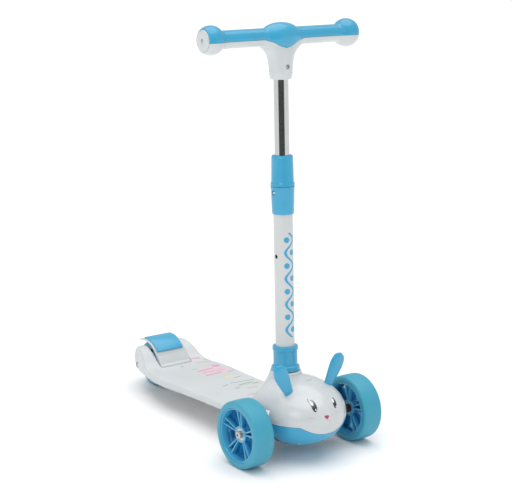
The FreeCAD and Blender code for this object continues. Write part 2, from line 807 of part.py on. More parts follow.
def deck():
    """The one-piece white deck."""
    start = float(AXLE_Y)
    outer = deck_outer()
    shell = outer.cut(deck_inside()).fuse(deck_frame().common(outer))
    truck_space = box(-200, 200, start - 120, start + num("deck_front"), 0, INNER_FLOOR)
    well_x = num("well_half_width")
    well = box(-well_x, well_x, start + num("well_front"), start + 600, 0, 200)
    shell = shell.cut(truck_space).cut(well)
    rear_truck = box(-num("bracket_half_width") - 1, num("bracket_half_width") + 1, start, start + 74,
                     0, INNER_FLOOR)
    shell = shell.cut(rear_truck)
    bore = on_column_shape(drum(num("tube_dia") / 2, 0, 0, INNER_FLOOR - 30, Z_AXIS, 100))
    shell = shell.cut(bore)
    for x, y in BRACKET_HOLES:
        shell = shell.cut(drum(2.5, x, y, INNER_FLOOR - 1, Z_AXIS, 12))
    axle = drum(float(BOLT_RADIUS), -100, float(REAR_Y), float(REAR_Z), X_AXIS, 200)
    hinge = drum(num("hinge_pin_dia") / 2, -43, start + num("hinge_y"), num("hinge_z"), X_AXIS, 86)
    shell = shell.cut(axle).cut(hinge)
    collar_seat = box(-60, 60, -60, 60, num("collar_bottom"), num("collar_bottom") + 20)
    shell = shell.cut(on_column_shape(collar_seat))
    for _, sign in SIDES:
        start_x = sign * AXLE_SEAT
        recess = drum(9, start_x, float(REAR_Y), float(REAR_Z), X_AXIS * sign, 30)
        shell = shell.cut(recess)
    return shell.removeSplitter()


free_form("deck", deck())


def bottom_tray():
    """The flat cover that closes the deck from below."""
    start = float(AXLE_Y)
    gap = num("deck_wall") + num("seam_gap")
    thick = num("deck_thickness")
    front = start + num("floor_height")
    rear = start + num("well_front") - 12
    plate = outline_face(gap, start + num("deck_front") + gap, start + num("deck_end"))
    plate = plate.extrude(Vector(0, 0, num("tray_thickness")))
    plate.translate(Vector(0, 0, -thick))
    plate = tilted(plate).common(box(-200, 200, front, rear, 0, 200))
    for x, y in TRAY_HOLES:
        plate = plate.cut(drum(SCREW_RADIUS + 0.4, x, y, 0, Z_AXIS, 100))
    return plate


TRAY_HOLES = [(x, float(AXLE_Y) + y) for x in (-60, 60) for y in (112, 240, 368)]
free_form("bottom_tray", bottom_tray())

tray_screws = []
for index, (x, y) in enumerate(TRAY_HOLES):
    level = deck_level(y) - num("deck_thickness") / math.cos(math.radians(num("deck_slope"))) - 0.05
    screw = headed(f"tray_screw_{index}", SCREW_RADIUS, -7, 3, 0, 1.5)
    tray_screws.append(place(screw, x, y, level, X_AXIS, 180 - num("deck_slope")))
group("tray_screws", tray_screws)


def deck_channel():
    """The steel channel that stiffens the deck along its middle."""
    half = num("beam_half_width")
    wall = num("beam_wall")
    start = float(AXLE_Y) + 80
    rear = float(AXLE_Y) + num("well_front") - 20
    low = -(num("deck_thickness") - num("tray_thickness"))
    high = low + num("beam_depth") + 1
    outer = box(-half, half, start, rear, low, high)
    inner = box(-half + wall, half - wall, start - 1, rear + 1, low - 1, high - wall)
    return tilted(outer.cut(inner))


free_form("deck_channel", deck_channel())


# ---------------------------------------------------------------- steering column

PLAY = size("running_clearance")
BUSH_TOP = size("tube_top") + 4

lower_tube_sleeve = sleeve("lower_tube_sleeve", TUBE_BORE, TUBE_RADIUS, size("tube_bottom"),
                           size("tube_top"))
hole_radius = size("button_dia") / 2 + size("button_play")


def side_hole(name, radius, height, reach):
    """A round tool through the -X side of a tube at a height up the column."""
    tool = doc.addObject("Part::Cylinder", name)
    tool.setExpression("Radius", radius.text)
    tool.setExpression("Height", as_size(reach).text)
    return place(tool, 0, 0, height, -Y_AXIS, 90)


holes = fused("lower_tube_holes", [
    side_hole("high_hole", hole_radius, size("button_height"), size("tube_dia")),
    side_hole("low_hole", hole_radius, size("button_height") - size("height_travel"), size("tube_dia"))])
keep(on_column(cut("lower_tube_cut", lower_tube_sleeve, holes)), "lower_tube")

plug_low = size("tube_bottom")
plug = turned("column_plug_turn", [(4, plug_low), (TUBE_BORE, plug_low), (TUBE_BORE, plug_low + 30),
                                   (4, plug_low + 30)])
keep(on_column(plug), "column_plug")
column_bolt = headed("column_bolt_turn", 4, -plug_low - 28, 7, 3.5 - BRACKET_LOW, 9 - BRACKET_LOW)
place(column_bolt, y=COLUMN_Y, axis=X_AXIS, angle=180 - size("rake_angle"))
keep(column_bolt, "column_bolt")

flare = size("collar_flare_dia") / 2
collar_radius = size("collar_dia") / 2
collar_low = size("collar_bottom")
lower_collar = turned("lower_collar_turn", [
    (TUBE_RADIUS, collar_low), (flare, collar_low), (flare, collar_low + 3),
    (collar_radius, collar_low + 12), (collar_radius, size("collar_top") - 9),
    (collar_radius + 1.5, size("collar_top") - 7), (collar_radius + 1.5, size("collar_top") - 1),
    (collar_radius + 0.5, size("collar_top")), (TUBE_RADIUS, size("collar_top"))])
keep(on_column(lower_collar), "lower_collar")

seam = size("sleeve_seam")
waist = TUBE_RADIUS + size("sleeve_waist_wall")
sleeve_low = turned("height_sleeve_turn", [
    (TUBE_RADIUS, size("sleeve_bottom")), (TUBE_RADIUS + size("sleeve_foot_wall"), size("sleeve_bottom")),
    (waist - 0.5, seam - 4), (waist, seam - 2), (waist, seam), (TUBE_RADIUS, seam)])
window = side_hole("sleeve_window", hole_radius, size("button_height"), size("tube_dia"))
keep(on_column(cut("height_sleeve_cut", sleeve_low, window)), "height_sleeve")

cap_low = seam + size("seam_gap")
neck_radius = TUBE_RADIUS + size("sleeve_neck_wall")
chrome_gap = CHROME_RADIUS + size("seam_gap")
tube_end = BUSH_TOP + size("seam_gap")
sleeve_cap = turned("sleeve_cap_turn", [
    (TUBE_RADIUS, cap_low), (waist, cap_low), (waist, cap_low + 3), (waist - 1.5, cap_low + 8),
    (neck_radius + 1, size("sleeve_top") - 2), (neck_radius, size("sleeve_top")),
    (chrome_gap, size("sleeve_top")), (chrome_gap, tube_end), (TUBE_RADIUS, tube_end)])
keep(on_column(sleeve_cap), "sleeve_cap")

bush_low = size("tube_top") - size("bush_length")
top_bush = turned("top_bush_turn", [
    (CHROME_RADIUS + PLAY, bush_low), (TUBE_BORE, bush_low), (TUBE_BORE, size("tube_top")),
    (TUBE_RADIUS, size("tube_top")), (TUBE_RADIUS, BUSH_TOP), (CHROME_RADIUS + PLAY, BUSH_TOP)])
keep(on_column(top_bush), "top_bush")


# ---------------------------------------------------------------- handlebar

NECK_BOTTOM = size("bar_height") - size("neck_length")
NECK_SCREW_HEIGHT = NECK_BOTTOM + 22
chrome_sleeve = sleeve("chrome_sleeve", CHROME_BORE, CHROME_RADIUS, size("chrome_bottom"),
                       size("bar_height"))
pin_hole = side_hole("chrome_pin_hole", size("button_dia") / 2 + PLAY, size("button_height"), 20)
saddle = doc.addObject("Part::Cylinder", "chrome_saddle")
saddle.setExpression("Radius", "Sizes.bar_tube_dia / 2")
saddle.setExpression("Height", "Sizes.chrome_dia + 4")
place(saddle, -CHROME_RADIUS - 2, 0, size("bar_height"), Y_AXIS, 90)
screw_hole = doc.addObject("Part::Cylinder", "chrome_screw_hole")
screw_hole.Radius = SCREW_RADIUS
screw_hole.setExpression("Height", "Sizes.chrome_dia")
place(screw_hole, 0, 0, NECK_SCREW_HEIGHT, X_AXIS, 90)
chrome_cuts = fused("chrome_cuts", [pin_hole, saddle, screw_hole])
keep(on_column(cut("chrome_tube_cut", chrome_sleeve, chrome_cuts)), "chrome_tube")

foot = size("chrome_bottom")
guide_bush = turned("guide_bush_turn", [
    (CHROME_BORE, foot - 3), (TUBE_BORE - PLAY, foot - 3), (TUBE_BORE - PLAY, foot + 18),
    (CHROME_RADIUS, foot + 18), (CHROME_RADIUS, foot), (CHROME_BORE, foot)])
keep(on_column(guide_bush), "guide_bush")

PIN_RADIUS = size("button_dia") / 2
button_tip = waist - size("button_recess")
button_back = CHROME_BORE - 3
button = turned("snap_button_turn", [
    (0, button_back), (PIN_RADIUS + 1, button_back), (PIN_RADIUS + 1, button_back + 1.5),
    (PIN_RADIUS, button_back + 1.5), (PIN_RADIUS, button_tip - 1.5), (PIN_RADIUS - 1.5, button_tip),
    (0, button_tip)])


def at_button(thing):
    """Point an object's Z axis out of the column's -X side at the button's height."""
    rake = math.radians(num("rake_angle"))
    height = num("button_height")
    base = Vector(0, float(COLUMN_Y) + height * math.sin(rake), height * math.cos(rake))
    thing.Placement = Placement(base, Rotation(-Y_AXIS, 90))
    rise = "Sizes.button_height * cos(Sizes.rake_angle * 1deg)"
    lean = f"{COLUMN_Y.text} + Sizes.button_height * sin(Sizes.rake_angle * 1deg)"
    thing.setExpression("Placement.Base.y", lean)
    thing.setExpression("Placement.Base.z", rise)
    return thing


keep(at_button(button), "snap_button")


def snap_spring():
    """The bent strip inside the chrome tube that pushes the button out."""
    height = num("button_height")
    reach = float(CHROME_BORE) - 0.4
    gap = float(button_back)
    low = height - 22
    thin = 0.6
    strip = [Vector(-gap + 0.1, -3, height + 6), Vector(-gap + 0.1, -3, height - 6),
             Vector(reach - 4, -3, low), Vector(reach, -3, low + 4), Vector(reach, -3, height + 8),
             Vector(reach - thin, -3, height + 8), Vector(reach - thin, -3, low + 4.3),
             Vector(reach - 4, -3, low + 1), Vector(-gap + 0.1 + thin, -3, height - 5.6),
             Vector(-gap + 0.1 + thin, -3, height + 6)]
    return on_column_shape(Part.Face(Part.makePolygon(strip + strip[:1])).extrude(Vector(0, 6, 0)))


free_form("snap_spring", snap_spring())

BAR_HALF = size("bar_width") / 2
BAR_RADIUS = size("bar_tube_dia") / 2
TUBE_HALF = BAR_HALF - 14
cross_bar = sleeve("cross_bar_turn", BAR_RADIUS - size("bar_tube_wall"), BAR_RADIUS, -TUBE_HALF, TUBE_HALF)


def at_bar(thing, along=0, angle=90):
    """Point an object's Z axis along the handlebar."""
    rake = "Sizes.rake_angle * 1deg"
    height = num("bar_height")
    turn = math.radians(num("rake_angle"))
    base = Vector(float(along), float(COLUMN_Y) + height * math.sin(turn), height * math.cos(turn))
    thing.Placement = Placement(base, Rotation(Y_AXIS, angle))
    thing.setExpression("Placement.Base.x", as_size(along).text)
    thing.setExpression("Placement.Base.y", f"{COLUMN_Y.text} + Sizes.bar_height * sin({rake})")
    thing.setExpression("Placement.Base.z", f"Sizes.bar_height * cos({rake})")
    return thing


keep(at_bar(cross_bar), "cross_bar")


def handle_solid(inset):
    """The outside of the handle, or its inside when drawn in by the wall."""
    height = num("bar_height")
    half = num("bar_width") / 2 - num("cap_thickness") - inset
    grip = num("grip_dia") / 2 - inset
    bulb = num("bulb_dia") / 2 - inset
    centre = num("bar_width") / 2 - num("bulb_offset")
    parts = [drum(grip, -centre, 0, height, X_AXIS, 2 * centre)]
    for _, sign in SIDES:
        parts.append(Part.makeSphere(bulb, Vector(sign * centre, 0, height)))
    parts.append(ellipsoid(Vector(0, 0, height), num("hub_half_width") - inset,
                           num("hub_half_depth") - inset, num("hub_half_height") - inset))
    neck = num("neck_dia") / 2
    bottom = float(NECK_BOTTOM)
    levels = [(bottom, neck, neck), (bottom + 22, neck, neck),
              (height - 32, neck + 5, neck - 1), (height - 20, neck + 15, neck - 2),
              (height, neck + 40, num("grip_dia") / 2)]
    wires = [ellipse_wire(half_x - inset, half_y - inset, 0, z) for z, half_x, half_y in levels]
    parts.append(Part.makeLoft(wires, True))
    whole = parts[0].multiFuse(parts[1:])
    return whole.common(box(-half, half, -100, 100, bottom - 1, height + 100))


def blue_side(gap):
    """The region of the handle above the seam, which dips to a point at the middle."""
    seam_z = num("bar_height") - num("seam_drop") + gap
    dip = num("seam_dip")
    reach = num("seam_dip_half")
    outline = [Vector(-200, -100, seam_z), Vector(-reach, -100, seam_z), Vector(0, -100, seam_z - dip),
               Vector(reach, -100, seam_z), Vector(200, -100, seam_z), Vector(200, -100, seam_z + 200),
               Vector(-200, -100, seam_z + 200)]
    return Part.Face(Part.makePolygon(outline + outline[:1])).extrude(Vector(0, 200, 0))


def handle_shells():
    """The white lower shell and the blue upper shell."""
    height = num("bar_height")
    outer = handle_solid(0)
    inner = handle_solid(num("handle_wall"))
    ribs = []
    for x in (44, 88, num("bar_width") / 2 - 12):
        for sign in (1, -1):
            ribs.append(box(sign * x - 1.5, sign * x + 1.5, -60, 60, height - 60, height + 60))
    bottom = float(NECK_BOTTOM)
    for level in (bottom, bottom + 40):
        ribs.append(box(-60, 60, -60, 60, level, level + 4))
    boss = drum(5, 0, -40, bottom + 22, Y_AXIS, 40)
    ribs.append(boss)
    shell = outer.cut(inner).multiFuse([rib.common(outer) for rib in ribs])
    shell = shell.cut(drum(float(BAR_RADIUS), -200, 0, height, X_AXIS, 400))
    shell = shell.cut(drum(float(CHROME_RADIUS), 0, 0, bottom - 10, Z_AXIS, height - bottom + 10))
    screw_z = float(NECK_SCREW_HEIGHT)
    shell = shell.cut(drum(3.5, 0, -num("neck_dia") / 2 - 1, screw_z, Y_AXIS, 4))
    shell = shell.cut(drum(1.5, 0, -num("neck_dia") / 2 - 1, screw_z, Y_AXIS, 30))
    for _, sign in SIDES:
        shell = shell.cut(drum(1.5, sign * (num("bar_width") / 2 - 30), 0, height - 30, Z_AXIS, 60))
    lower = shell.cut(blue_side(0))
    upper = shell.common(blue_side(num("seam_gap")))
    return largest(lower), largest(upper)


def largest(shape):
    """The biggest solid of a shape."""
    return max(shape.Solids, key=lambda solid: solid.Volume)


lower_shell, upper_shell = handle_shells()
free_form("handle_lower_shell", on_column_shape(lower_shell))
free_form("handle_upper_shell", on_column_shape(upper_shell))

cap_radius = ((size("bulb_dia") / 2) * 0.72)
cap_screws = []
for side, sign in SIDES:
    cap_base = BAR_HALF - size("cap_thickness")
    cap = turned("end_cap_turn_" + side, [
        (SCREW_RADIUS, 0), (cap_radius, 0), (cap_radius, size("cap_thickness") - 1),
        (cap_radius - 1, size("cap_thickness")), (3.2, size("cap_thickness")),
        (3.2, size("cap_thickness") - 1.5), (SCREW_RADIUS, size("cap_thickness") - 1.5)])
    keep(at_bar(cap, cap_base * sign, 90 * sign), "end_cap_" + side)
    screw = headed("cap_screw_" + side, 1.5, -9, 3, size("cap_thickness") - 1.5,
                   size("cap_thickness") - 0.2)
    cap_screws.append(at_bar(screw, cap_base * sign, 90 * sign))
group("end_cap_screws", cap_screws)

neck_screw_low = size("neck_dia") / 2 - 4
neck_screw = headed("neck_screw_turn", 1.5, neck_screw_low - 9, 3.3, neck_screw_low + 1, neck_screw_low + 3)


def at_neck(thing):
    """Point an object's Z axis forward out of the handle's neck."""
    turn = math.radians(num("rake_angle"))
    height = float(NECK_SCREW_HEIGHT)
    base = Vector(0, float(COLUMN_Y) + height * math.sin(turn), height * math.cos(turn))
    thing.Placement = Placement(base, Rotation(X_AXIS, 90 - num("rake_angle")))
    rake = "Sizes.rake_angle * 1deg"
    thing.setExpression("Placement.Base.y", f"{COLUMN_Y.text} + {NECK_SCREW_HEIGHT.text} * sin({rake})")
    thing.setExpression("Placement.Base.z", f"{NECK_SCREW_HEIGHT.text} * cos({rake})")
    thing.setExpression("Placement.Rotation.Angle", "90 - Sizes.rake_angle")
    return thing


keep(at_neck(neck_screw), "neck_screw")


# ---------------------------------------------------------------- head

HEAD_CENTRE = Vector(0, float(AXLE_Y) + num("head_offset"), num("head_height"))


def head_shells():
    """The white head cover and the blue chin cover under it."""
    wall = num("cover_wall")
    halves = (num("head_half_width"), num("head_half_length"), num("head_half_height"))
    outer = ellipsoid(HEAD_CENTRE, *halves)
    inner = ellipsoid(HEAD_CENTRE, *[half - wall for half in halves])
    start = float(AXLE_Y)
    rear = start + num("deck_front") - num("seam_gap")
    bosses = []
    for x in (-34, 34):
        bosses.append(drum(5, x, start - 40, 0, Z_AXIS, 140))
    shell = outer.cut(inner).multiFuse([boss.common(outer) for boss in bosses])
    shell = shell.common(box(-200, 200, start - 200, rear, 0, 300))
    shell = shell.cut(neck_solid(-num("seam_gap"), num("deck_top") - 8, num("collar_bottom") + 20))
    low = num("clevis_bottom") - num("lean_room")
    high = num("clevis_top") + num("lean_room")
    front = start - num("truck_beam_depth") / 2 - 3
    back = start + num("steer_arm") + 9
    shell = shell.cut(box(-200, 200, front, back, low, high))
    for x in (-34, 34):
        shell = shell.cut(drum(1.5, x, start - 40, 0, Z_AXIS, 62))
        shell = shell.cut(drum(3.2, x, start - 40, 0, Z_AXIS, chin_floor() + 2))
    dip = num("chin_dip")
    reach = num("chin_dip_half")
    radius = (reach ** 2 + dip ** 2) / (2 * dip)
    line = num("chin_line")
    split = box(-200, 200, start - 300, start + 300, line, 300)
    split = split.fuse(drum(radius, 0, start - 300, line - dip + radius, Y_AXIS, 600))
    gap = split.copy()
    gap.translate(Vector(0, 0, -num("seam_gap")))
    return largest(shell.common(split)), largest(shell.cut(gap))


def chin_floor():
    """The height of the chin's underside at its screws."""
    wide = 1 - (34 / num("head_half_width")) ** 2
    wide -= ((40 + num("head_offset")) / num("head_half_length")) ** 2
    return num("head_height") - num("head_half_height") * math.sqrt(wide)


white_head, blue_chin = head_shells()
free_form("head_cover", white_head)
free_form("chin_cover", blue_chin)
chin_screws = []
for index, x in enumerate((-34, 34)):
    screw = headed(f"chin_screw_{index}", 1.5, -22, 3, 0, 1.5)
    chin_screws.append(place(screw, x, AXLE_Y - 40, chin_floor() + 2, X_AXIS, 180))
group("chin_screws", chin_screws)


def ear(sign):
    """A flat, leaf-shaped ear that stands on the head and leans outward."""
    length = num("ear_length")
    half = num("ear_width") / 2
    thick = num("ear_thickness")
    outline = Part.BSplineCurve()
    outline.interpolate([Vector(0, 0, -4), Vector(half * 0.62, 0, length * 0.28),
                         Vector(half, 0, length * 0.66), Vector(half * 0.62, 0, length * 0.94),
                         Vector(0, 0, length), Vector(-half * 0.62, 0, length * 0.94),
                         Vector(-half, 0, length * 0.66), Vector(-half * 0.62, 0, length * 0.28)], True)
    leaf = Part.Face(Part.Wire([outline.toShape()])).extrude(Vector(0, thick, 0))
    leaf.translate(Vector(0, -thick / 2, 0))
    lean = Rotation(Y_AXIS, sign * num("ear_splay")).multiply(Rotation(X_AXIS, num("ear_nod")))
    base = Vector(sign * num("ear_base_x"), float(AXLE_Y) + num("ear_base_y"), num("ear_base_z"))
    leaf.Placement = Placement(base, lean)
    halves = (num("head_half_width"), num("head_half_length"), num("head_half_height"))
    return leaf.cut(ellipsoid(HEAD_CENTRE, *halves))


for side, sign in SIDES:
    free_form("ear_" + side, largest(ear(sign)))


# ---------------------------------------------------------------- rear axle and brake

WELL_HALF = size("well_half_width")
rear_seat = HUB_SEAT + size("side_gap")
axle_reach = size("deck_half_tail") - 6
rear_bolt = headed("rear_axle_turn", BOLT_RADIUS, -axle_reach - 6, size("axle_head_dia") / 2, axle_reach,
                   axle_reach + 4)
keep(place(rear_bolt, 0, REAR_Y, REAR_Z, Y_AXIS, -90), "rear_axle")
rear_nut = padded("rear_axle_nut", "YZ_Plane", nut_outline, 5, [((0, 0), BOLT_RADIUS)])
keep(place(rear_nut, axle_reach, REAR_Y, REAR_Z), "rear_axle_nut")
spacers = []
for index, (low, high) in enumerate(((-WELL_HALF, -rear_seat), (rear_seat, WELL_HALF))):
    ring = sleeve(f"rear_spacer_{index}", BOLT_RADIUS, 7, low, high)
    spacers.append(place(ring, 0, REAR_Y, REAR_Z, Y_AXIS, 90))
group("rear_axle_spacers", spacers)


def arch(inner, outer, half_width, front, rear, low):
    """A stretch of a ring round the rear wheel, between two places along the scooter."""
    centre_y = float(REAR_Y)
    ring = drum(outer, -half_width, centre_y, float(REAR_Z), X_AXIS, 2 * half_width)
    ring = ring.cut(drum(inner, -half_width - 1, centre_y, float(REAR_Z), X_AXIS, 2 * half_width + 2))
    return ring.common(box(-100, 100, front, rear, low, 300))


FENDER_INNER = float(REAR_RADIUS) + num("fender_gap")
FENDER_OUTER = FENDER_INNER + num("fender_wall")
HINGE_Y = float(AXLE_Y) + num("hinge_y")


def brake_fender():
    """The white sprung mudguard that the rider's heel presses."""
    half = num("fender_half_width")
    start = float(AXLE_Y)
    hinge_z = num("hinge_z")
    low = num("rear_wheel_dia") * 0.77
    body = arch(FENDER_INNER, FENDER_OUTER, half, HINGE_Y + 6, start + num("deck_end"), low)
    flap = [Vector(-half, HINGE_Y - 5, hinge_z), Vector(-half, HINGE_Y + 5, hinge_z - 2),
            Vector(-half, HINGE_Y + 17, hinge_z + 18), Vector(-half, HINGE_Y + 9, hinge_z + 20)]
    body = body.fuse(Part.Face(Part.makePolygon(flap + flap[:1])).extrude(Vector(2 * half, 0, 0)))
    body = body.fuse(drum(6, -half, HINGE_Y, hinge_z, X_AXIS, 2 * half))
    body = body.cut(drum(FENDER_INNER, -half - 1, float(REAR_Y), float(REAR_Z), X_AXIS, 2 * half + 2))
    body = body.cut(box(-11, 11, HINGE_Y - 10, HINGE_Y + 8, hinge_z - 10, hinge_z + 12))
    bore = num("hinge_pin_dia") / 2 + num("running_clearance")
    return largest(body.cut(drum(bore, -60, HINGE_Y, hinge_z, X_AXIS, 120)))


free_form("brake_fender", brake_fender())
pad_front = float(AXLE_Y) + num("pad_front")
pad_rear = float(AXLE_Y) + num("pad_rear")
free_form("brake_pad", arch(FENDER_OUTER, FENDER_OUTER + num("pad_thickness"), num("pad_half_width"),
                            pad_front, pad_rear, 60))
shoe_inner = FENDER_INNER - num("shoe_thickness")
shoe_half = num("rear_wheel_width") / 2
free_form("brake_shoe", arch(shoe_inner, FENDER_INNER, shoe_half, float(REAR_Y) - 22, float(REAR_Y) + 18, 60))

hinge_reach = num("well_half_width") + 7
hinge_pin = rod("brake_hinge_turn", size("hinge_pin_dia") / 2, -hinge_reach, hinge_reach)
keep(place(hinge_pin, 0, AXLE_Y + size("hinge_y"), size("hinge_z"), Y_AXIS, 90), "brake_hinge_pin")


def brake_spring():
    """The torsion spring on the hinge pin, as the closed outline of its coil and two legs."""
    pin = num("hinge_pin_dia") / 2
    hinge_z = num("hinge_z")
    coil = drum(pin + 2, -9, HINGE_Y, hinge_z, X_AXIS, 18)
    legs = [box(-9, -7.4, HINGE_Y - 7.5, HINGE_Y, hinge_z - pin - 1.8, hinge_z - pin - 0.2),
            box(7.4, 9, HINGE_Y, HINGE_Y + 7.5, hinge_z + pin + 0.2, hinge_z + pin + 1.8)]
    coil = coil.multiFuse(legs)
    return coil.cut(drum(pin + 0.1, -20, HINGE_Y, hinge_z, X_AXIS, 40))


free_form("brake_spring", brake_spring())


def finish():
    """Check every object and write each node's file."""
    doc.recompute()
    for thing in doc.Objects:
        faults = [state for state in thing.State if state in ("Invalid", "Error")]
        if faults:
            raise RuntimeError(f"{thing.Name} did not build: {thing.State}")
    os.makedirs("parts", exist_ok=True)
    for thing in nodes:
        shape = thing.Shape
        if shape.isNull() or not shape.isValid():
            raise RuntimeError(f"{thing.Label} has no valid shape")
        shape.exportStep(f"parts/{thing.Label}.step")
        print(f"{thing.Label}: {len(shape.Solids)} solid(s), {shape.Volume / 1000:.2f} cm3")


finish()
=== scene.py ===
"""A child's three-wheel kick scooter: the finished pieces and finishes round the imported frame.

The scooter rolls towards -Y, +X is the rider's left and +Z is up. Lengths are in metres, and MM turns
millimetres into them.
"""
import json
import math

import bpy
from mathutils import Matrix, Vector

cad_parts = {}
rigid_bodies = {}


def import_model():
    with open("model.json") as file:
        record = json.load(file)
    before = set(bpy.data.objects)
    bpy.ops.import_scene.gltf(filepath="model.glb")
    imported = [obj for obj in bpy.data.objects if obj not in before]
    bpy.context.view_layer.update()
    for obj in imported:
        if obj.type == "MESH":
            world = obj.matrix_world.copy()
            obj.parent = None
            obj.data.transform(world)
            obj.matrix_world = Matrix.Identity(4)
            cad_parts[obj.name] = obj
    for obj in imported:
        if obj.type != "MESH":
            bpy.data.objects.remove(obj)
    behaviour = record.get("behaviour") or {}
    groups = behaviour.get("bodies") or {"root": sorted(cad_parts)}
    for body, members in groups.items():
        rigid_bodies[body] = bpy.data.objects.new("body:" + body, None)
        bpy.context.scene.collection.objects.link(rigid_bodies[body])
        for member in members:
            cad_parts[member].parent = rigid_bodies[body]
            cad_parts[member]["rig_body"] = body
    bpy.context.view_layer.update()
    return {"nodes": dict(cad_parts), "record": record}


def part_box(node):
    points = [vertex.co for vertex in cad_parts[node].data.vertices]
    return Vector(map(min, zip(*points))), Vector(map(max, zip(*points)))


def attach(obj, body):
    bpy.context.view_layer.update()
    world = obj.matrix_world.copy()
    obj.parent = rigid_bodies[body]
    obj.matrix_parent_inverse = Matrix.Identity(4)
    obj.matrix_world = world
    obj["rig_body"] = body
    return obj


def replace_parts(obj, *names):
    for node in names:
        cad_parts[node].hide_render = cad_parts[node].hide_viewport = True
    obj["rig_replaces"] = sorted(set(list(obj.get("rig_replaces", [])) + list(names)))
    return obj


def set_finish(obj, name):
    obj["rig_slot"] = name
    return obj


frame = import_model()

MM = 0.001
FULL_TURN = math.tau


# ------------------------------------------------------------------ working with pieces

def let_go():
    """Nothing selected, so that the next operator acts only on what is picked for it."""
    if bpy.context.object and bpy.context.object.mode != "OBJECT":
        bpy.ops.object.mode_set(mode="OBJECT")
    bpy.ops.object.select_all(action="DESELECT")


def take(piece):
    """Select one piece alone and make it the active one."""
    let_go()
    piece.select_set(True)
    bpy.context.view_layer.objects.active = piece
    return piece


def start(kind, name, **settings):
    """A new primitive, named."""
    let_go()
    getattr(bpy.ops.mesh, f"primitive_{kind}_add")(**settings)
    piece = bpy.context.object
    piece.name = name
    piece.data.name = name
    return piece


def block(name, low, high):
    """A box between two corners, in millimetres."""
    low, high = Vector(low) * MM, Vector(high) * MM
    piece = start("cube", name, size=1, location=(low + high) / 2)
    piece.scale = high - low
    return settle(piece)


def drum(name, radius, middle, along, length, sides=64):
    """A round bar about a middle point, in millimetres, along X, Y or Z."""
    turn = {"X": (0, math.pi / 2, 0), "Y": (math.pi / 2, 0, 0), "Z": (0, 0, 0)}[along]
    piece = start("cylinder", name, vertices=sides, radius=radius * MM, depth=length * MM,
                  location=Vector(middle) * MM, rotation=turn)
    return settle(piece)


def settle(piece, place=None):
    """Put a piece's place into its mesh, so that its object sits at the origin."""
    take(piece)
    if place is not None:
        piece.matrix_world = place
    bpy.ops.object.transform_apply(location=True, rotation=True, scale=True)
    return piece


class Shaping:
    """Edit mode on one piece, with nothing picked at first."""

    def __init__(self, piece):
        self.piece = piece

    def __enter__(self):
        take(self.piece)
        bpy.ops.object.mode_set(mode="EDIT")
        bpy.ops.mesh.select_mode(type="VERT")
        bpy.ops.mesh.select_all(action="DESELECT")
        return self

    def __exit__(self, *_):
        bpy.ops.object.mode_set(mode="OBJECT")

    def all(self):
        bpy.ops.mesh.select_all(action="SELECT")

    def pick(self, kind, test):
        """Pick vertices or faces by their place and normal."""
        bpy.ops.mesh.select_mode(type=kind)
        bpy.ops.mesh.select_all(action="DESELECT")
        bpy.ops.object.mode_set(mode="OBJECT")
        mesh = self.piece.data
        if kind == "FACE":
            for face in mesh.polygons:
                face.select = test(face.center, face.normal)
        else:
            for point in mesh.vertices:
                point.select = test(point.co, point.normal)
        bpy.ops.object.mode_set(mode="EDIT")

    def clean(self):
        """Merge doubles and turn every face outward."""
        self.all()
        bpy.ops.mesh.remove_doubles(threshold=2e-6)
        bpy.ops.mesh.normals_make_consistent(inside=False)


def modify(piece, kind, **settings):
    """Add a modifier and apply it."""
    take(piece)
    change = piece.modifiers.new(kind.lower(), kind)
    for key, value in settings.items():
        setattr(change, key, value)
    bpy.ops.object.modifier_apply(modifier=change.name)
    return piece


def combine(piece, tool, operation="UNION"):
    """Join a tool to a piece, or take it out of it, or keep only what they share. The tool is used up."""
    modify(piece, "BOOLEAN", object=tool, operation=operation, solver="EXACT")
    bpy.data.objects.remove(tool)
    return piece


def cut(piece, *tools):
    """Take each tool out of a piece."""
    for tool in tools:
        combine(piece, tool, "DIFFERENCE")
    return piece


def soften(piece, width, segments=3, angle=32):
    """Round the edges that are sharper than an angle; the width is in millimetres."""
    return modify(piece, "BEVEL", width=width * MM, segments=segments, limit_method="ANGLE",
                  angle_limit=math.radians(angle), harden_normals=False)


def blend_over(piece, voxel, passes):
    """Re-skin a piece in one smooth surface, as a moulding's own radii do."""
    modify(piece, "REMESH", mode="VOXEL", voxel_size=voxel * MM, adaptivity=0.0)
    modify(piece, "SMOOTH", factor=0.6, iterations=passes)
    return piece


def twin(piece, name, place=Matrix.Identity(4)):
    """A copy with its own mesh, moved to its place."""
    other = piece.copy()
    other.data = piece.data.copy()
    other.name = name
    other.data.name = name
    bpy.context.scene.collection.objects.link(other)
    settle(other, place)
    if place.to_3x3().determinant() < 0:
        with Shaping(other) as work:
            work.clean()
    return other


def joined(name, pieces):
    """Several loose pieces as one object."""
    take(pieces[0])
    for piece in pieces:
        piece.select_set(True)
    if len(pieces) > 1:
        bpy.ops.object.join()
    pieces[0].name = name
    return pieces[0]


def draw_outline(work, points):
    """A closed outline, drawn from point to point out of a small plane; all of it is left selected."""
    work.all()
    bpy.ops.mesh.merge(type="CENTER")
    bpy.ops.transform.translate(value=points[0])
    for here, there in zip(points, points[1:] + points[:1]):
        bpy.ops.mesh.extrude_vertices_move(TRANSFORM_OT_translate={"value": there - here})
    work.all()


def lathe(name, outline, steps=96):
    """A turned piece on its own Z axis, from (radius, height) points in millimetres."""
    piece = start("plane", name, size=MM)
    with Shaping(piece) as work:
        draw_outline(work, [Vector((radius, 0, height)) * MM for radius, height in outline])
        bpy.ops.mesh.spin(steps=steps, angle=FULL_TURN, center=(0, 0, 0), axis=(0, 0, 1))
        work.clean()
    return piece


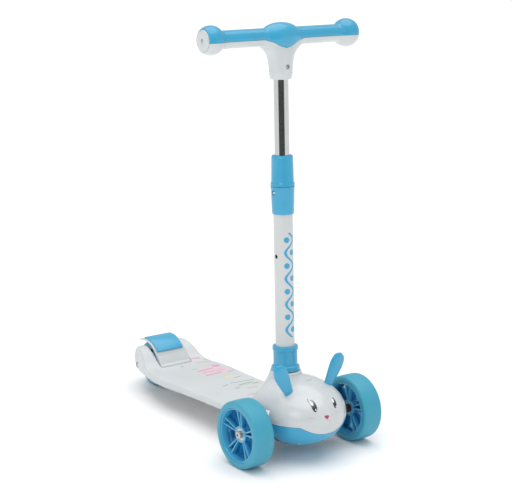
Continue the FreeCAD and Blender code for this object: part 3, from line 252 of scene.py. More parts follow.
def arc(middle, radius, first, last, count=6):
    """Points along an arc, for a lathe outline; the angles are in degrees."""
    angles = [math.radians(first + (last - first) * i / count) for i in range(count + 1)]
    return [(middle[0] + radius * math.cos(a), middle[1] + radius * math.sin(a)) for a in angles]


def curve_through(stations, place):
    """The height at a place of a smooth line through (place, height) stations."""
    if place <= stations[0][0]:
        return stations[0][1]
    for index in range(len(stations) - 1):
        (x0, y0), (x1, y1) = stations[index], stations[index + 1]
        if place <= x1:
            before = stations[max(index - 1, 0)]
            after = stations[min(index + 2, len(stations) - 1)]
            span = x1 - x0
            slope0 = (y1 - before[1]) / (x1 - before[0])
            slope1 = (after[1] - y0) / (after[0] - x0)
            t = (place - x0) / span
            return ((2 * t ** 3 - 3 * t ** 2 + 1) * y0 + (t ** 3 - 2 * t ** 2 + t) * span * slope0
                    + (3 * t ** 2 - 2 * t ** 3) * y1 + (t ** 3 - t ** 2) * span * slope1)
    return stations[-1][1]


def finish_piece(piece, finish, body, slot, *nodes, angle=35):
    """Shade a piece, give it its finish, and put it on its body."""
    take(piece)
    bpy.ops.object.shade_smooth_by_angle(angle=math.radians(angle))
    piece.data.materials.clear()
    piece.data.materials.append(finish)
    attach(piece, body)
    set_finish(piece, slot)
    if nodes:
        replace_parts(piece, *nodes)
    return piece


# ------------------------------------------------------------------ places taken from the frame

def middle_of(node):
    """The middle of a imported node's box, in millimetres."""
    low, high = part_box(node)
    return (low + high) / 2 / MM


FRONT_AXLE = middle_of("tyre_front_left")
REAR_AXLE = middle_of("tyre_rear")
TRACK = FRONT_AXLE.x
RAKE = math.radians(2.77)
FOOT_Y = FRONT_AXLE.y + 38
DECK_TOP = 66
DECK_DEPTH = 15
WALL = 3
WELL_HALF = 35
DECK_SLOPE = math.radians(1.8)
DECK_FRONT = FRONT_AXLE.y + 46
DECK_END = FRONT_AXLE.y + 484
WELL_FRONT = FRONT_AXLE.y + 396
SLOPE_Y = FRONT_AXLE.y + 100
HEAD = Vector((0, FRONT_AXLE.y + 12, 78))
HEAD_HALVES = Vector((83, 96, 60))
SIDES = (("left", 1), ("right", -1))

# Radii of the column's bores and heights along its axis.
TUBE_BORE = 17.25
SLIDER_BORE = 13.1
NECK_TOP = 142
COLLAR_TOP = 187
SLEEVE_FOOT = 424
SLEEVE_TOP = 472.55
CAP_FOOT = 472.95
CAP_TOP = 527
HANDLE_FOOT = 658
NECK_SCREW = 680
BAR = 731
BAR_END = 159

# The column's own frame: its axis is Z, raked back from its foot.
COLUMN = Matrix.Translation((0, FOOT_Y * MM, 0)) @ Matrix.Rotation(-RAKE, 4, "X")


def pointing(place, direction):
    """The matrix that points a piece's Z axis in a direction, at a place in millimetres."""
    turn = Vector(direction).to_track_quat("Z", "Y").to_matrix().to_4x4()
    return Matrix.Translation(Vector(place) * MM) @ turn


# ------------------------------------------------------------------ finishes

class Wire:
    """A number in a material, on which arithmetic adds Math nodes."""

    def __init__(self, paint, socket):
        self.paint = paint
        self.socket = socket

    def math(self, operation, *others, swap=False):
        values = [self, *others]
        if swap:
            values.reverse()
        return self.paint.node("ShaderNodeMath", {"operation": operation}, *values)

    def __add__(self, other): return self.math("ADD", other)
    def __radd__(self, other): return self.math("ADD", other)
    def __sub__(self, other): return self.math("SUBTRACT", other)
    def __rsub__(self, other): return self.math("SUBTRACT", other, swap=True)
    def __mul__(self, other): return self.math("MULTIPLY", other)
    def __rmul__(self, other): return self.math("MULTIPLY", other)
    def __truediv__(self, other): return self.math("DIVIDE", other)
    def __rtruediv__(self, other): return self.math("DIVIDE", other, swap=True)
    def __pow__(self, other): return self.math("POWER", other)
    def __neg__(self): return self.math("MULTIPLY", -1.0)
    def __abs__(self): return self.math("ABSOLUTE")
    def __or__(self, other): return self.math("MAXIMUM", other)
    def __and__(self, other): return self.math("MINIMUM", other)


class Paint:
    """One material, built up from nodes."""

    def __init__(self, name, **uniform):
        self.material = bpy.data.materials.new(name)
        self.material.use_nodes = True
        self.tree = self.material.node_tree
        self.shader = next(n for n in self.tree.nodes if n.type == "BSDF_PRINCIPLED")
        for socket, value in uniform.items():
            self.shader.inputs[socket.replace("_", " ")].default_value = value
        self.place = self.node("ShaderNodeTexCoord", {}, out="Object")

    def node(self, kind, settings, *values, out=0, **named):
        """Add a node: its settings first, then the values or links of its sockets."""
        made = self.tree.nodes.new(kind)
        for key, value in settings.items():
            setattr(made, key, value)
        given = list(enumerate(values)) + [(key.replace("_", " "), value) for key, value in named.items()]
        for key, value in given:
            if value is None:
                continue
            if isinstance(value, Wire):
                self.tree.links.new(value.socket, made.inputs[key])
            else:
                made.inputs[key].default_value = value
        return Wire(self, made.outputs[out])

    def feed(self, socket, wire):
        """Link a wire to a socket of the material's shader."""
        self.tree.links.new(wire.socket, self.shader.inputs[socket])

    def noise(self, scale, detail=2.0, rough=0.5, where=None):
        """Cloudy noise; a larger scale makes it finer."""
        return self.node("ShaderNodeTexNoise", {}, Vector=where or self.place, Scale=scale,
                         Detail=detail, Roughness=rough)

    def ramp(self, wire, low, high, to_low=0.0, to_high=1.0):
        """A smooth step between two limits."""
        return self.node("ShaderNodeMapRange", {"interpolation_type": "SMOOTHSTEP"}, wire, low, high,
                         to_low, to_high)

    def mix(self, share, first, second):
        """A blend of two colours."""
        made = self.tree.nodes.new("ShaderNodeMix")
        made.data_type = "RGBA"
        for key, value in ((0, share), (6, first), (7, second)):
            if isinstance(value, Wire):
                self.tree.links.new(value.socket, made.inputs[key])
            else:
                made.inputs[key].default_value = value
        return Wire(self, made.outputs[2])

    def split(self):
        """The three coordinates of a place, in millimetres."""
        return [self.node("ShaderNodeSeparateXYZ", {}, self.place, out=axis) / MM for axis in range(3)]

    def stretched(self, x, y, z):
        """The place with its axes scaled, for grain that runs one way."""
        return self.node("ShaderNodeMapping", {"vector_type": "POINT"}, self.place, Scale=(x, y, z))

    def bump(self, height, strength, distance):
        """Relief in the surface; the distance is in millimetres."""
        lifted = self.node("ShaderNodeBump", {}, Strength=strength, Distance=distance * MM, Height=height)
        self.feed("Normal", lifted)

    def oval(self, across, up, centre, halves, turn=0.0, soft=0.06):
        """A mask that is 1 inside an oval; the turn is in degrees."""
        c, s = math.cos(math.radians(turn)), math.sin(math.radians(turn))
        u, v = across - centre[0], up - centre[1]
        along = (u * c + v * s) / halves[0]
        side = (v * c - u * s) / halves[1]
        return self.ramp((along * along + side * side) ** 0.5, 1 + soft, 1 - soft)

    def bar(self, across, up, centre, halves, turn=0.0, soft=0.35):
        """A mask that is 1 inside a bar with round ends; lengths are in millimetres."""
        c, s = math.cos(math.radians(turn)), math.sin(math.radians(turn))
        u, v = across - centre[0], up - centre[1]
        along = (abs(u * c + v * s) - (halves[0] - halves[1])) | 0.0
        side = v * c - u * s
        return self.ramp((along * along + side * side) ** 0.5, halves[1] + soft, halves[1] - soft)

    def band(self, wire, low, high, soft=0.4):
        """A mask that is 1 between two limits."""
        return self.ramp(wire, low - soft, low + soft) * self.ramp(wire, high + soft, high - soft)


def shade(red, green, blue):
    """A colour from its 0 to 255 screen values."""
    def linear(value):
        value /= 255
        return value / 12.92 if value <= 0.04045 else ((value + 0.055) / 1.055) ** 2.4
    return (linear(red), linear(green), linear(blue), 1.0)


def deeper(colour, share):
    """The same colour, darker."""
    return tuple(channel * share for channel in colour[:3]) + (1.0,)


def moulded(name, colour, roughness=0.32, coat=0.25, print_and_shade_over=None, grain=0.35):
    """Moulded plastic: slight flow marks, a fine skin, faint handling scuffs and rubbed-in dust."""
    paint = Paint(name, Roughness=roughness, Coat_Roughness=0.12)
    flow = paint.noise(9, 3, 0.55)
    skin = paint.noise(900, 2, 0.6)
    scuff = paint.ramp(paint.noise(60, 5, 0.7, where=paint.stretched(1, 3.5, 1)), 0.56, 0.72)
    tint = paint.mix(paint.ramp(flow, 0.35, 0.7), colour, deeper(colour, 0.93))
    tint = paint.mix(scuff * 0.18, tint, deeper(colour, 0.86))
    # The overlay paints print, and on the hub and over the head's crease it paints shade.
    if print_and_shade_over:
        tint = print_and_shade_over(paint, tint)
    paint.feed("Base Color", tint)
    paint.feed("Roughness", roughness + scuff * 0.16 + (skin - 0.5) * 0.05)
    paint.feed("Coat Weight", coat - scuff * coat * 0.7)
    paint.bump(skin * 0.6 + paint.noise(45, 2, 0.5) * 0.9, grain, 0.05)
    return paint.material


def metal(name, colour, roughness, grain_scale=(1, 1, 1), grain=0.5, worn=0.4):
    """Plated or brushed metal: fine grain, cloudy plating and a little tarnish."""
    paint = Paint(name, Metallic=1.0)
    brushed = paint.noise(1600, 3, 0.6, where=paint.stretched(*grain_scale))
    cloud = paint.noise(70, 4, 0.6)
    tarnish = paint.ramp(paint.noise(140, 5, 0.65), 0.55, 0.75)
    tint = paint.mix(cloud, colour, deeper(colour, 0.86))
    tint = paint.mix(tarnish * worn, tint, deeper(colour, 0.62))
    paint.feed("Base Color", tint)
    paint.feed("Roughness", roughness + (brushed - 0.5) * 0.12 + tarnish * worn * 0.2)
    paint.bump(brushed, grain, 0.02)
    return paint.material


WHITE = shade(207, 212, 214)
SKY_BLUE = shade(58, 166, 206)


def face(paint, tint):
    """The printed face: two tall eyes, a short lash, a small nose, a mouth and faint cheeks, with a painted
    shadow in the crease where the neck meets the head's top.
    """
    x, y, z = paint.split()
    front = paint.ramp(y, HEAD.y - 30, HEAD.y - 32)
    black = shade(24, 24, 26)
    cheek = paint.oval(abs(x), z, (33.8, 91.2), (5.6, 2.0), soft=0.5) * front
    tint = paint.mix(cheek * 0.35, tint, shade(196, 172, 180))
    for centre, halves, turn in (((-22.9, 108.8), (4.6, 8.7), -11), ((20.6, 106.8), (4.7, 7.6), -18)):
        eye = paint.oval(x, z, centre, halves, turn=turn) * front
        fade = paint.ramp(z + (x - centre[0]) * -0.6, centre[1] - 0.5, centre[1] + 8.0)
        tint = paint.mix(eye, tint, paint.mix(fade, black, shade(150, 160, 166)))
        shine = paint.oval(x, z, (centre[0] - 1.3, centre[1] + 3.6), (2.2, 2.9), turn=turn, soft=0.25)
        glint = paint.oval(x, z, (centre[0] + 0.6, centre[1] - 5.4), (0.9, 1.6), turn=turn, soft=0.25)
        tint = paint.mix((shine | glint) * front, tint, shade(246, 247, 249))
    lash = paint.oval(x, z, (-24.4, 114.8), (3.9, 4.6), soft=0.08)
    inner = paint.oval(x, z, (-23.7, 114.4), (3.7, 4.5), soft=0.08)
    tint = paint.mix(lash * (1 - inner) * paint.ramp(x, -25.4, -26.4) * front * 0.85, tint, black)
    nose = paint.oval(x, z, (-8.0, 91.2), (2.9, 2.1), soft=0.12)
    nose = nose | paint.oval(x, z, (-4.4, 90.9), (2.9, 2.1), soft=0.12)
    nose = nose | paint.oval(x, z, (-6.2, 89.2), (2.6, 2.5), soft=0.12)
    tint = paint.mix(nose * front, tint, shade(176, 56, 100))
    mouth = paint.bar(x, z, (-2.8, 82.9), (4.4, 0.75), turn=-42, soft=0.5) * front
    tint = paint.mix(mouth * 0.55, tint, shade(224, 132, 150))
    # Painted shade: a dark stroke where the neck meets the top of the head cover.
    neck_crease_shade = paint.bar(x, y, (6.2, -225.4), (7.5, 0.9), turn=8, soft=0.8) * paint.ramp(z, 120, 124)
    return paint.mix(neck_crease_shade * 0.55, tint, shade(96, 100, 104))


def deck_print(paint, tint):
    """A pastel pattern of dots, dashes and waves printed along the deck, a little to one side."""
    x, y, z = paint.split()
    top = paint.ramp(z + (y - SLOPE_Y) * math.tan(DECK_SLOPE), DECK_TOP - 1.2, DECK_TOP - 0.7)
    top = top * paint.ramp(y, -148, -144) * paint.ramp(z, DECK_TOP + 3.0, DECK_TOP + 2.0)
    rose, blush, plum = shade(206, 146, 168), shade(232, 196, 208), shade(176, 130, 150)
    leaf, lemon, stone = shade(152, 172, 136), shade(226, 214, 150), shade(146, 150, 148)
    marks = [
        ("oval", (34, 108), (31, 26), 0, blush), ("oval", (56, 131), (8, 7), 0, rose),
        ("bar", (24, 121), (20, 1.9), 6, plum), ("bar", (32, 103), (26, 2.1), -4, rose),
        ("bar", (22, 88), (21, 1.9), 5, plum), ("bar", (60, 84), (9, 1.5), 8, stone),
        ("bar", (9, 137), (6, 1.6), -20, stone), ("bar", (38, 191), (20, 1.9), -6, rose),
        ("bar", (52, 168), (17, 1.7), -10, rose), ("bar", (66, 180), (7, 1.5), 0, leaf),
        ("bar", (12, 196), (6, 1.6), 12, leaf), ("oval", (0, 167), (3.4, 3.4), 0, stone),
        ("oval", (34, 56), (9, 8), 0, lemon), ("bar", (46, 43), (10, 1.6), 10, stone),
        ("bar", (36, 15), (25, 1.6), -8, stone), ("bar", (34, 0), (19, 2.4), 6, leaf),
        ("bar", (-4, 13), (7, 1.7), 14, stone), ("bar", (52, -9), (9, 1.8), -6, stone),
        ("bar", (4, -15), (6, 1.9), 8, stone), ("bar", (30, -28), (12, 1.4), -8, leaf),
        ("oval", (24, -45), (4, 4), 0, lemon), ("bar", (6, -60), (12, 1.6), 6, rose),
    ]
    for kind, centre, halves, turn, colour in marks:
        mask = getattr(paint, kind)(x, y, centre, halves, turn) * top
        tint = paint.mix(mask * 0.8, tint, colour)
    for place, colour in ((112, plum), (-6, stone)):
        wave = y - place - (x * 0.35).math("SINE") * 2.2
        mask = paint.band(wave, -0.7, 0.7) * paint.band(x, 6, 58) * top
        tint = paint.mix(mask * 0.7, tint, colour)
    return tint


def tube_print(paint, tint):
    """A blue ribbon that winds up the front of the tube, with a dot in each of its bends."""
    x, y, z = paint.split()
    front = paint.ramp(y - (FOOT_Y + z * math.tan(RAKE)), 1.0, -1.0)
    across = (x / 17.2).math("ARCSINE") * 17.2
    blue = shade(58, 160, 204)
    pitch = 46.0
    ribbon = across - (z * (FULL_TURN / pitch)).math("SINE") * 8.0
    mask = paint.band(ribbon, -2.6, 2.6, soft=0.5)
    for index in range(8):
        height = 207 + pitch / 4 + index * pitch / 2
        side = 1 if math.sin(FULL_TURN * height / pitch) > 0 else -1
        mask = mask | paint.oval(across, z, (-side * 5.5, height), (5.2, 5.2), soft=0.07)
    return paint.mix(mask * front * paint.band(z, 204, 392), tint, blue)


def hub_recess_shade(paint, tint):
    """Painted shade: a deeper blue towards the middle of each hub's width, where the web and the roots of
    the ribs lie in shade.
    """
    x, _, _ = paint.split()
    # painted shade: the deep blue grows towards the hub's mid-plane, away from its outer faces
    depth = abs(abs(x) - TRACK) & abs(x)
    return paint.mix(paint.ramp(depth, 2.0, 12.0), shade(28, 122, 180), tint)


def cast_tyre(name, colour):
    """Cast polyurethane: satin, a little cloudy, with a rubbed tread and road specks."""
    paint = Paint(name)
    grain = paint.noise(420, 4, 0.65)
    cloud = paint.noise(26, 3, 0.5)
    speck = paint.ramp(paint.noise(1500, 2, 0.5), 0.68, 0.78)
    tint = paint.mix(cloud, colour, deeper(colour, 0.88))
    tint = paint.mix(speck * 0.30, tint, deeper(colour, 0.6))
    paint.feed("Base Color", tint)
    paint.feed("Roughness", 0.46 + (grain - 0.5) * 0.18)
    paint.bump(grain + speck * 0.4, 0.5, 0.07)
    return paint.material


def coated(name, colour, roughness, peel, print_and_shade_over=None, chip=0.25):
    """Powder coat over steel: orange peel, with small dull rubs."""
    paint = Paint(name, Coat_Roughness=0.08)
    bumps = paint.noise(650, 2, 0.4)
    rub = paint.ramp(paint.noise(38, 6, 0.7, where=paint.stretched(1, 1, 0.3)), 0.58, 0.74)
    tint = paint.mix(rub * chip, colour, deeper(colour, 0.85))
    tint = paint.mix(paint.noise(6, 2) * 0.25, tint, deeper(colour, 0.92))
    if print_and_shade_over:
        tint = print_and_shade_over(paint, tint)
    paint.feed("Base Color", tint)
    paint.feed("Roughness", roughness + rub * 0.2)
    paint.feed("Coat Weight", 0.35 - rub * 0.25)
    paint.bump(bumps, peel, 0.05)
    return paint.material


FINISHES = {
    "white_plastic": moulded("white_moulding", WHITE),
    "sky_blue_plastic": moulded("blue_moulding", SKY_BLUE, roughness=0.30),
    "wheel_blue": cast_tyre("cast_blue_tyre", shade(64, 163, 190)),
    # the hub's finish carries painted shade in its recesses
    "hub_blue": moulded("blue_hub", shade(72, 172, 214), roughness=0.22, coat=0.5, print_and_shade_over=hub_recess_shade),
    "white_paint": coated("white_powder_coat", shade(207, 211, 211), 0.30, 0.3, tube_print),
    "chrome": metal("chrome_plate", (0.57, 0.58, 0.58, 1), 0.07, (1, 1, 0.05), grain=0.05, worn=0.1),
    "steel": metal("zinc_plate", (0.62, 0.62, 0.60, 1), 0.34, (1, 1, 1), grain=0.4),
    "black_metal": coated("black_powder_coat", (0.022, 0.023, 0.026, 1), 0.42, 0.7, chip=0.5),
    "black_rubber": moulded("black_rubber", (0.02, 0.02, 0.02, 1), roughness=0.72, coat=0.0, grain=0.9),
    "grey_plastic": moulded("grey_tray", shade(190, 192, 194), roughness=0.55, coat=0.0, grain=0.9),
    "natural_plastic": moulded("natural_acetal", shade(214, 211, 200), roughness=0.42, coat=0.05),
}
head_white = moulded("head_white", WHITE, roughness=0.26, coat=0.35, print_and_shade_over=face)
deck_white = moulded("deck_white", WHITE, roughness=0.36, coat=0.15, print_and_shade_over=deck_print, grain=0.6)

for part in frame["record"]["subparts"]:
    node = frame["nodes"][part["node"]]
    node.data.materials.clear()
    node.data.materials.append(FINISHES[part["material_slot"]])


# ------------------------------------------------------------------ wheels

def tyre(name, radius, width):
    """A cast tyre with a nearly flat tread and square, rounded shoulders."""
    half, bead, corner = width / 2, radius - 12, 4.5
    side = arc((radius - corner - 0.5, half - corner), corner, 4, 88, 8)
    crown = [(radius - 0.5 * (h / (half - corner)) ** 2, h) for h in range(-12, 13, 3)]
    outline = ([(bead, -half + 0.6), (bead + 0.8, -half)] + [(r, -h) for r, h in reversed(side)] + crown
               + side + [(bead + 0.8, half), (bead, half - 0.6)])
    return lathe(name, outline, steps=128)


def mirrored_outline(half_outline):
    """A lathe outline from its upper half, which is listed from the outside in."""
    return [(r, -h) for r, h in reversed(half_outline)] + half_outline


def hub(name, radius, width):
    """A deep hub: a rolled rim, a thin web with five windows, a boss, and five pairs of tall ribs."""
    half, bead, boss = width / 2 - 1.4, radius - 12, 15.0
    rim_in = bead - 3.2
    wheel_body = lathe(name, mirrored_outline([
        (bead - 0.05, half), (bead - 1.2, half + 0.8), (rim_in + 0.8, half + 0.2), (rim_in, half - 1.6),
        (rim_in - 0.5, 3.6), (rim_in - 2, 1.8), (boss + 2.5, 1.8), (boss + 0.6, 3.4), (boss, 5.0),
        (boss, 10.4), (boss - 0.8, 11.2), (11, 11.2)]), steps=128)
    near, far = boss + 4.5, rim_in - 3.5
    window = block("window", (near, -3.2, -6), (far, 3.2, 6))
    with Shaping(window) as work:
        work.pick("FACE", lambda place, normal: normal.x > 0.9)
        bpy.ops.transform.resize(value=(1, 1.0 + 0.075 * (far - near), 1))
    modify(window, "BEVEL", width=2.4 * MM, segments=4, affect="EDGES", limit_method="ANGLE",
           angle_limit=math.radians(60))
    rib = block("rib", (boss - 0.7, -1.25, -10.4), (rim_in + 0.9, 1.25, 10.4))
    with Shaping(rib) as work:
        work.pick("FACE", lambda place, normal: normal.x > 0.9)
        bpy.ops.transform.resize(value=(1, 1.1, (half - 3.6) / 10.4))
    soften(rib, 0.6, 2, 30)
    windows, ribs = [], []
    for index in range(5):
        turn = 90 + 72 * index
        windows.append(twin(window, "window_copy", Matrix.Rotation(math.radians(turn + 36), 4, "Z")))
        for side in (-1, 1):
            ribs.append(twin(rib, "rib_copy", Matrix.Rotation(math.radians(turn + side * 7.5), 4, "Z")))
    for tool in (window, rib):
        bpy.data.objects.remove(tool)
    cut(wheel_body, joined("windows", windows))
    return combine(wheel_body, joined("ribs", ribs))


def bearing(name, low):
    """A shielded ball bearing on the wheel's own axis, from a height up."""
    half = 3.5
    outline = mirrored_outline([(10.96, half - 0.4), (10.6, half), (9.4, half), (9.2, half - 0.5),
                                (6.6, half - 0.5), (6.4, half), (4.0, half)])
    return lathe(name, [(r, low + half + h) for r, h in outline], steps=64)


def wheel(label, body, middle, radius, width):
    """One wheel's tyre, hub and two bearings, across the scooter."""
    place = pointing(middle, (1, 0, 0))
    cast = settle(tyre(f"tyre_{label}_cast", radius, width), place)
    finish_piece(cast, FINISHES["wheel_blue"], body, "wheel_blue", "tyre_" + label, angle=50)
    spoked = settle(hub(f"hub_{label}_spoked", radius, width), place)
    finish_piece(spoked, FINISHES["hub_blue"], body, "hub_blue", "hub_" + label)
    races = joined(f"bearings_{label}_shielded", [bearing("race", 4), bearing("race", -11)])
    finish_piece(settle(races, place), FINISHES["steel"], body, "steel", "bearings_" + label)


def front_wheels():
    """The left front wheel, and the right one as its copies moved across."""
    wheel("front_left", "front_wheel_left", FRONT_AXLE, 60, 40)
    names = ("tyre_front_{}_cast", "hub_front_{}_spoked", "bearings_front_{}_shielded")
    for name, slot, node in zip(names, ("wheel_blue", "hub_blue", "steel"), ("tyre", "hub", "bearings")):
        first = bpy.data.objects[name.format("left")]
        other = twin(first, name.format("right"), Matrix.Translation((-2 * TRACK * MM, 0, 0)))
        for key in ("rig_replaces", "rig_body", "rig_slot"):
            if key in other:
                del other[key]
        other.parent = None
        finish_piece(other, FINISHES[slot], "front_wheel_right", slot, node + "_front_right", angle=50)


front_wheels()
wheel("rear", "rear_wheel", REAR_AXLE, 45, 36)


# ------------------------------------------------------------------ fasteners

def screw_head(name, radius, height):
    """A domed screw head with a cross recess, its seat at height 0."""
    edge = [(0, 0), (radius * 0.94, 0), (radius, 0.12 * height), (radius, 0.3 * height)]
    dome = [(radius * math.cos(a), height * (0.3 + 0.7 * math.sin(a))) for a in (0.35, 0.7, 1.05, 1.3)]
    head = lathe(name, edge + dome + [(0, height)], steps=40)
    for turn in (0, 1):
        size = Vector((radius * 1.15, radius * 0.3, height))
        if turn:
            size.x, size.y = size.y, size.x
        slot = block("slot", -size / 2 + Vector((0, 0, height)), size / 2 + Vector((0, 0, height)))
        cut(head, slot)
    return head


def bolt_head(name, radius, height):
    """A low round bolt head with a chamfer and a six-sided socket."""
    head = lathe(name, [(0, 0), (radius, 0), (radius, height - 1.2), (radius - 0.5, height - 0.5),
                        (radius - 1.4, height), (0, height)], steps=64)
    socket = drum("socket", radius * 0.48, (0, 0, height), "Z", height * 1.1, sides=6)
    return cut(head, socket)


def lay_screws(name, node, head, places, body, slot="steel"):
    """Copies of one screw head, as one object that stands for its node."""
    copies = [twin(head, f"{name}_{index}", place) for index, place in enumerate(places)]
    bpy.data.objects.remove(head)
    finish_piece(joined(name, copies), FINISHES[slot], body, slot, node)


neck_axis = (0, -math.cos(RAKE), math.sin(RAKE))
neck_seat = COLUMN @ Vector((0, -18.0 * MM, NECK_SCREW * MM)) / MM
bar_middle = COLUMN @ Vector((0, 0, BAR * MM)) / MM
lay_screws("neck_screw_head", "neck_screw", screw_head("neck_head", 3.3, 2),
           [pointing(neck_seat, neck_axis)], "handlebar")
cap_seats = [bar_middle + Vector((side * (BAR_END + 1.5), 0, 0)) for side in (-1, 1)]
lay_screws("end_cap_screw_heads", "end_cap_screws", screw_head("cap_head", 3, 1.3),
           [pointing(seat, (math.copysign(1, seat.x), 0, 0)) for seat in cap_seats], "handlebar")
for label, side in SIDES:
    node = "axle_bolt_front_" + label
    low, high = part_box(node)
    head_height = 5
    face_x = (high.x if side > 0 else low.x) / MM - side * head_height
    head = bolt_head(node + "_head", 6.5, head_height)
    shank = lathe("shank", [(0, -47), (3.95, -47), (3.95, 0.1), (0, 0.1)], steps=48)
    combine(head, shank)
    settle(head, pointing((face_x, FRONT_AXLE.y, FRONT_AXLE.z), (side, 0, 0)))
    finish_piece(head, FINISHES["steel"], "knuckle_" + label, "steel", node)


# ------------------------------------------------------------------ steering column

def collar():
    """The blue collar over the deck's neck: a flared foot, a straight barrel and a rolled lip."""
    barrel, low, high = 21.5, NECK_TOP, COLLAR_TOP
    foot = [(TUBE_BORE, low), (24.6, low), (25.8, low + 0.8), (26, low + 2.2), (25.6, low + 4)]
    waist = arc((barrel + 5, low + 12.5), 5, -110, -180, 4)
    lip = [(barrel, high - 10), (barrel + 0.3, high - 8.4), (barrel + 1.4, high - 7.4),
           (barrel + 1.5, high - 6.6), (barrel + 1.5, high - 2.2), (barrel + 0.9, high - 0.8),
           (barrel - 0.4, high), (TUBE_BORE, high)]
    return settle(lathe("lower_collar_moulded", foot + waist + lip), COLUMN)


def sleeves():
    """The sleeve at the top of the fixed tube, with the button's window, and the cap above it."""
    waist, throat, ledge, button = 21.2, 13.3, 512.3, 462
    foot, top, seat = SLEEVE_FOOT, SLEEVE_TOP, CAP_FOOT
    low = lathe("height_sleeve_moulded", [
        (TUBE_BORE, foot), (18.6, foot), (19.2, foot + 0.6), (19.4, foot + 2), (20.1, foot + 22),
        (20.7, foot + 44), (waist, foot + 45.2), (waist, foot + 48), (waist - 0.6, top), (TUBE_BORE, top)])
    cut(low, drum("window", 4.4, (-20, 0, button), "X", 12, sides=40))
    cap = lathe("sleeve_cap_moulded", [
        (TUBE_BORE, seat), (waist - 0.6, seat), (waist, seat + 0.55), (waist, seat + 4.45),
        (waist - 0.6, seat + 6.25), (19.9, seat + 9.05), (19.1, CAP_TOP - 5), (18.8, CAP_TOP - 2.4),
        (18.1, CAP_TOP - 0.6), (16.9, CAP_TOP), (throat + 0.3, CAP_TOP), (throat, CAP_TOP - 0.4),
        (throat, ledge), (TUBE_BORE, ledge)])
    return settle(low, COLUMN), settle(cap, COLUMN)


for piece, node in zip((collar(), *sleeves()), ("lower_collar", "height_sleeve", "sleeve_cap")):
    finish_piece(piece, FINISHES["sky_blue_plastic"], "frame", "sky_blue_plastic", node)


# ------------------------------------------------------------------ handlebar

def handle_solid():
    """The outside of the handle in the column's frame: a bar with round ends, a hub and a neck."""
    parts = [drum("handle_bar", 15.5, (0, 0, BAR), "X", 288)]
    for side in (-1, 1):
        bulb = start("uv_sphere", "bulb", segments=48, ring_count=24, radius=25 * MM,
                     location=Vector((side * 144.7, 0, BAR)) * MM)
        parts.append(settle(bulb))
    middle = start("uv_sphere", "hub", segments=48, ring_count=24, radius=MM,
                   location=Vector((0, 0, BAR)) * MM)
    middle.scale = (42, 24.5, 24.5)
    parts.append(settle(middle))
    levels = [(HANDLE_FOOT, 18.2, 18.2), (664, 19.8, 19.6), (672, 20.9, 20.8), (682, 21.4, 21),
              (699, 26.5, 20), (710, 36, 19), (720, 53, 17.2), (BAR, 80, 15.4)]
    neck = start("circle", "neck", vertices=48, radius=levels[0][1] * MM, fill_type="NGON",
                 location=Vector((0, 0, levels[0][0])) * MM)
    settle(neck)
    with Shaping(neck) as work:
        work.all()
        before = levels[0]
        for height in range(HANDLE_FOOT + 4, BAR + 1, 4):
            wide = curve_through([(z, a) for z, a, _ in levels], height)
            deep = curve_through([(z, b) for z, _, b in levels], height)
            rise = (height - before[0]) * MM
            bpy.ops.mesh.extrude_region_move(TRANSFORM_OT_translate={"value": (0, 0, rise)})
            bpy.ops.transform.resize(value=(wide / before[1], deep / before[2], 1))
            before = (height, wide, deep)
        work.clean()
    whole = joined("handle_lower_moulded", parts + [neck])
    blend_over(whole, 1.1, 8)
    trim = block("trim", (-BAR_END, -80, HANDLE_FOOT), (BAR_END, 80, 800))
    return combine(whole, trim, "INTERSECT")


def seam_region(gap):
    """Everything above the handle's seam, which dips to a point at the middle."""
    region = block("seam_region", (-200, -100, BAR - 4 + gap), (200, 100, 860))
    with Shaping(region) as work:
        for place in (-42, -28, -14, 0, 14, 28, 42):
            work.all()
            bpy.ops.mesh.bisect(plane_co=(place * MM, 0, 0), plane_no=(1, 0, 0))
        for place, drop in ((0, 15), (14, 11.2), (28, 4.2)):
            work.pick("VERT", lambda spot, _: abs(abs(spot.x) - place * MM) < MM and spot.z < 750 * MM)
            bpy.ops.transform.translate(value=(0, 0, -drop * MM))
    return region


def handle():
    """The white lower shell and the blue upper shell, with a fine groove where they meet."""
    lower = handle_solid()
    bore = drum("bore", SLIDER_BORE, (0, 0, NECK_SCREW), "Z", 70)
    recess = drum("recess", 4.2, (0, -20, NECK_SCREW), "Y", 4.4, sides=40)
    cut(lower, bore, recess)
    upper = twin(lower, "handle_upper_moulded")
    combine(upper, seam_region(0.45), "INTERSECT")
    cut(lower, seam_region(0))
    for piece in (lower, upper):
        settle(piece, COLUMN)
    return lower, upper


for piece, slot, node in zip(handle(), ("white_plastic", "sky_blue_plastic"),
                             ("handle_lower_shell", "handle_upper_shell")):
    finish_piece(piece, FINISHES[slot], "handlebar", slot, node, angle=50)

cap = lathe("end_cap", [(0, 0), (18.0, 0), (18.0, 1.4), (17.4, 2.5), (16.2, 3.0), (4.4, 3.0), (3.8, 2.6),
                        (3.4, 1.5), (0, 1.5)], steps=72)
for label, side in SIDES:
    seat = bar_middle + Vector((side * BAR_END, 0, 0))
    piece = twin(cap, f"end_cap_{label}_moulded", pointing(seat, (side, 0, 0)))
    finish_piece(piece, FINISHES["white_plastic"], "handlebar", "white_plastic", "end_cap_" + label)
bpy.data.objects.remove(cap)


# ------------------------------------------------------------------ deck

# The deck's half width at shares of its length, from the front.
HALF_WIDTHS = [(0, 71), (0.45, 74.5), (0.66, 79), (0.76, 75), (0.85, 64), (0.93, 53.5), (1, 45.5)]


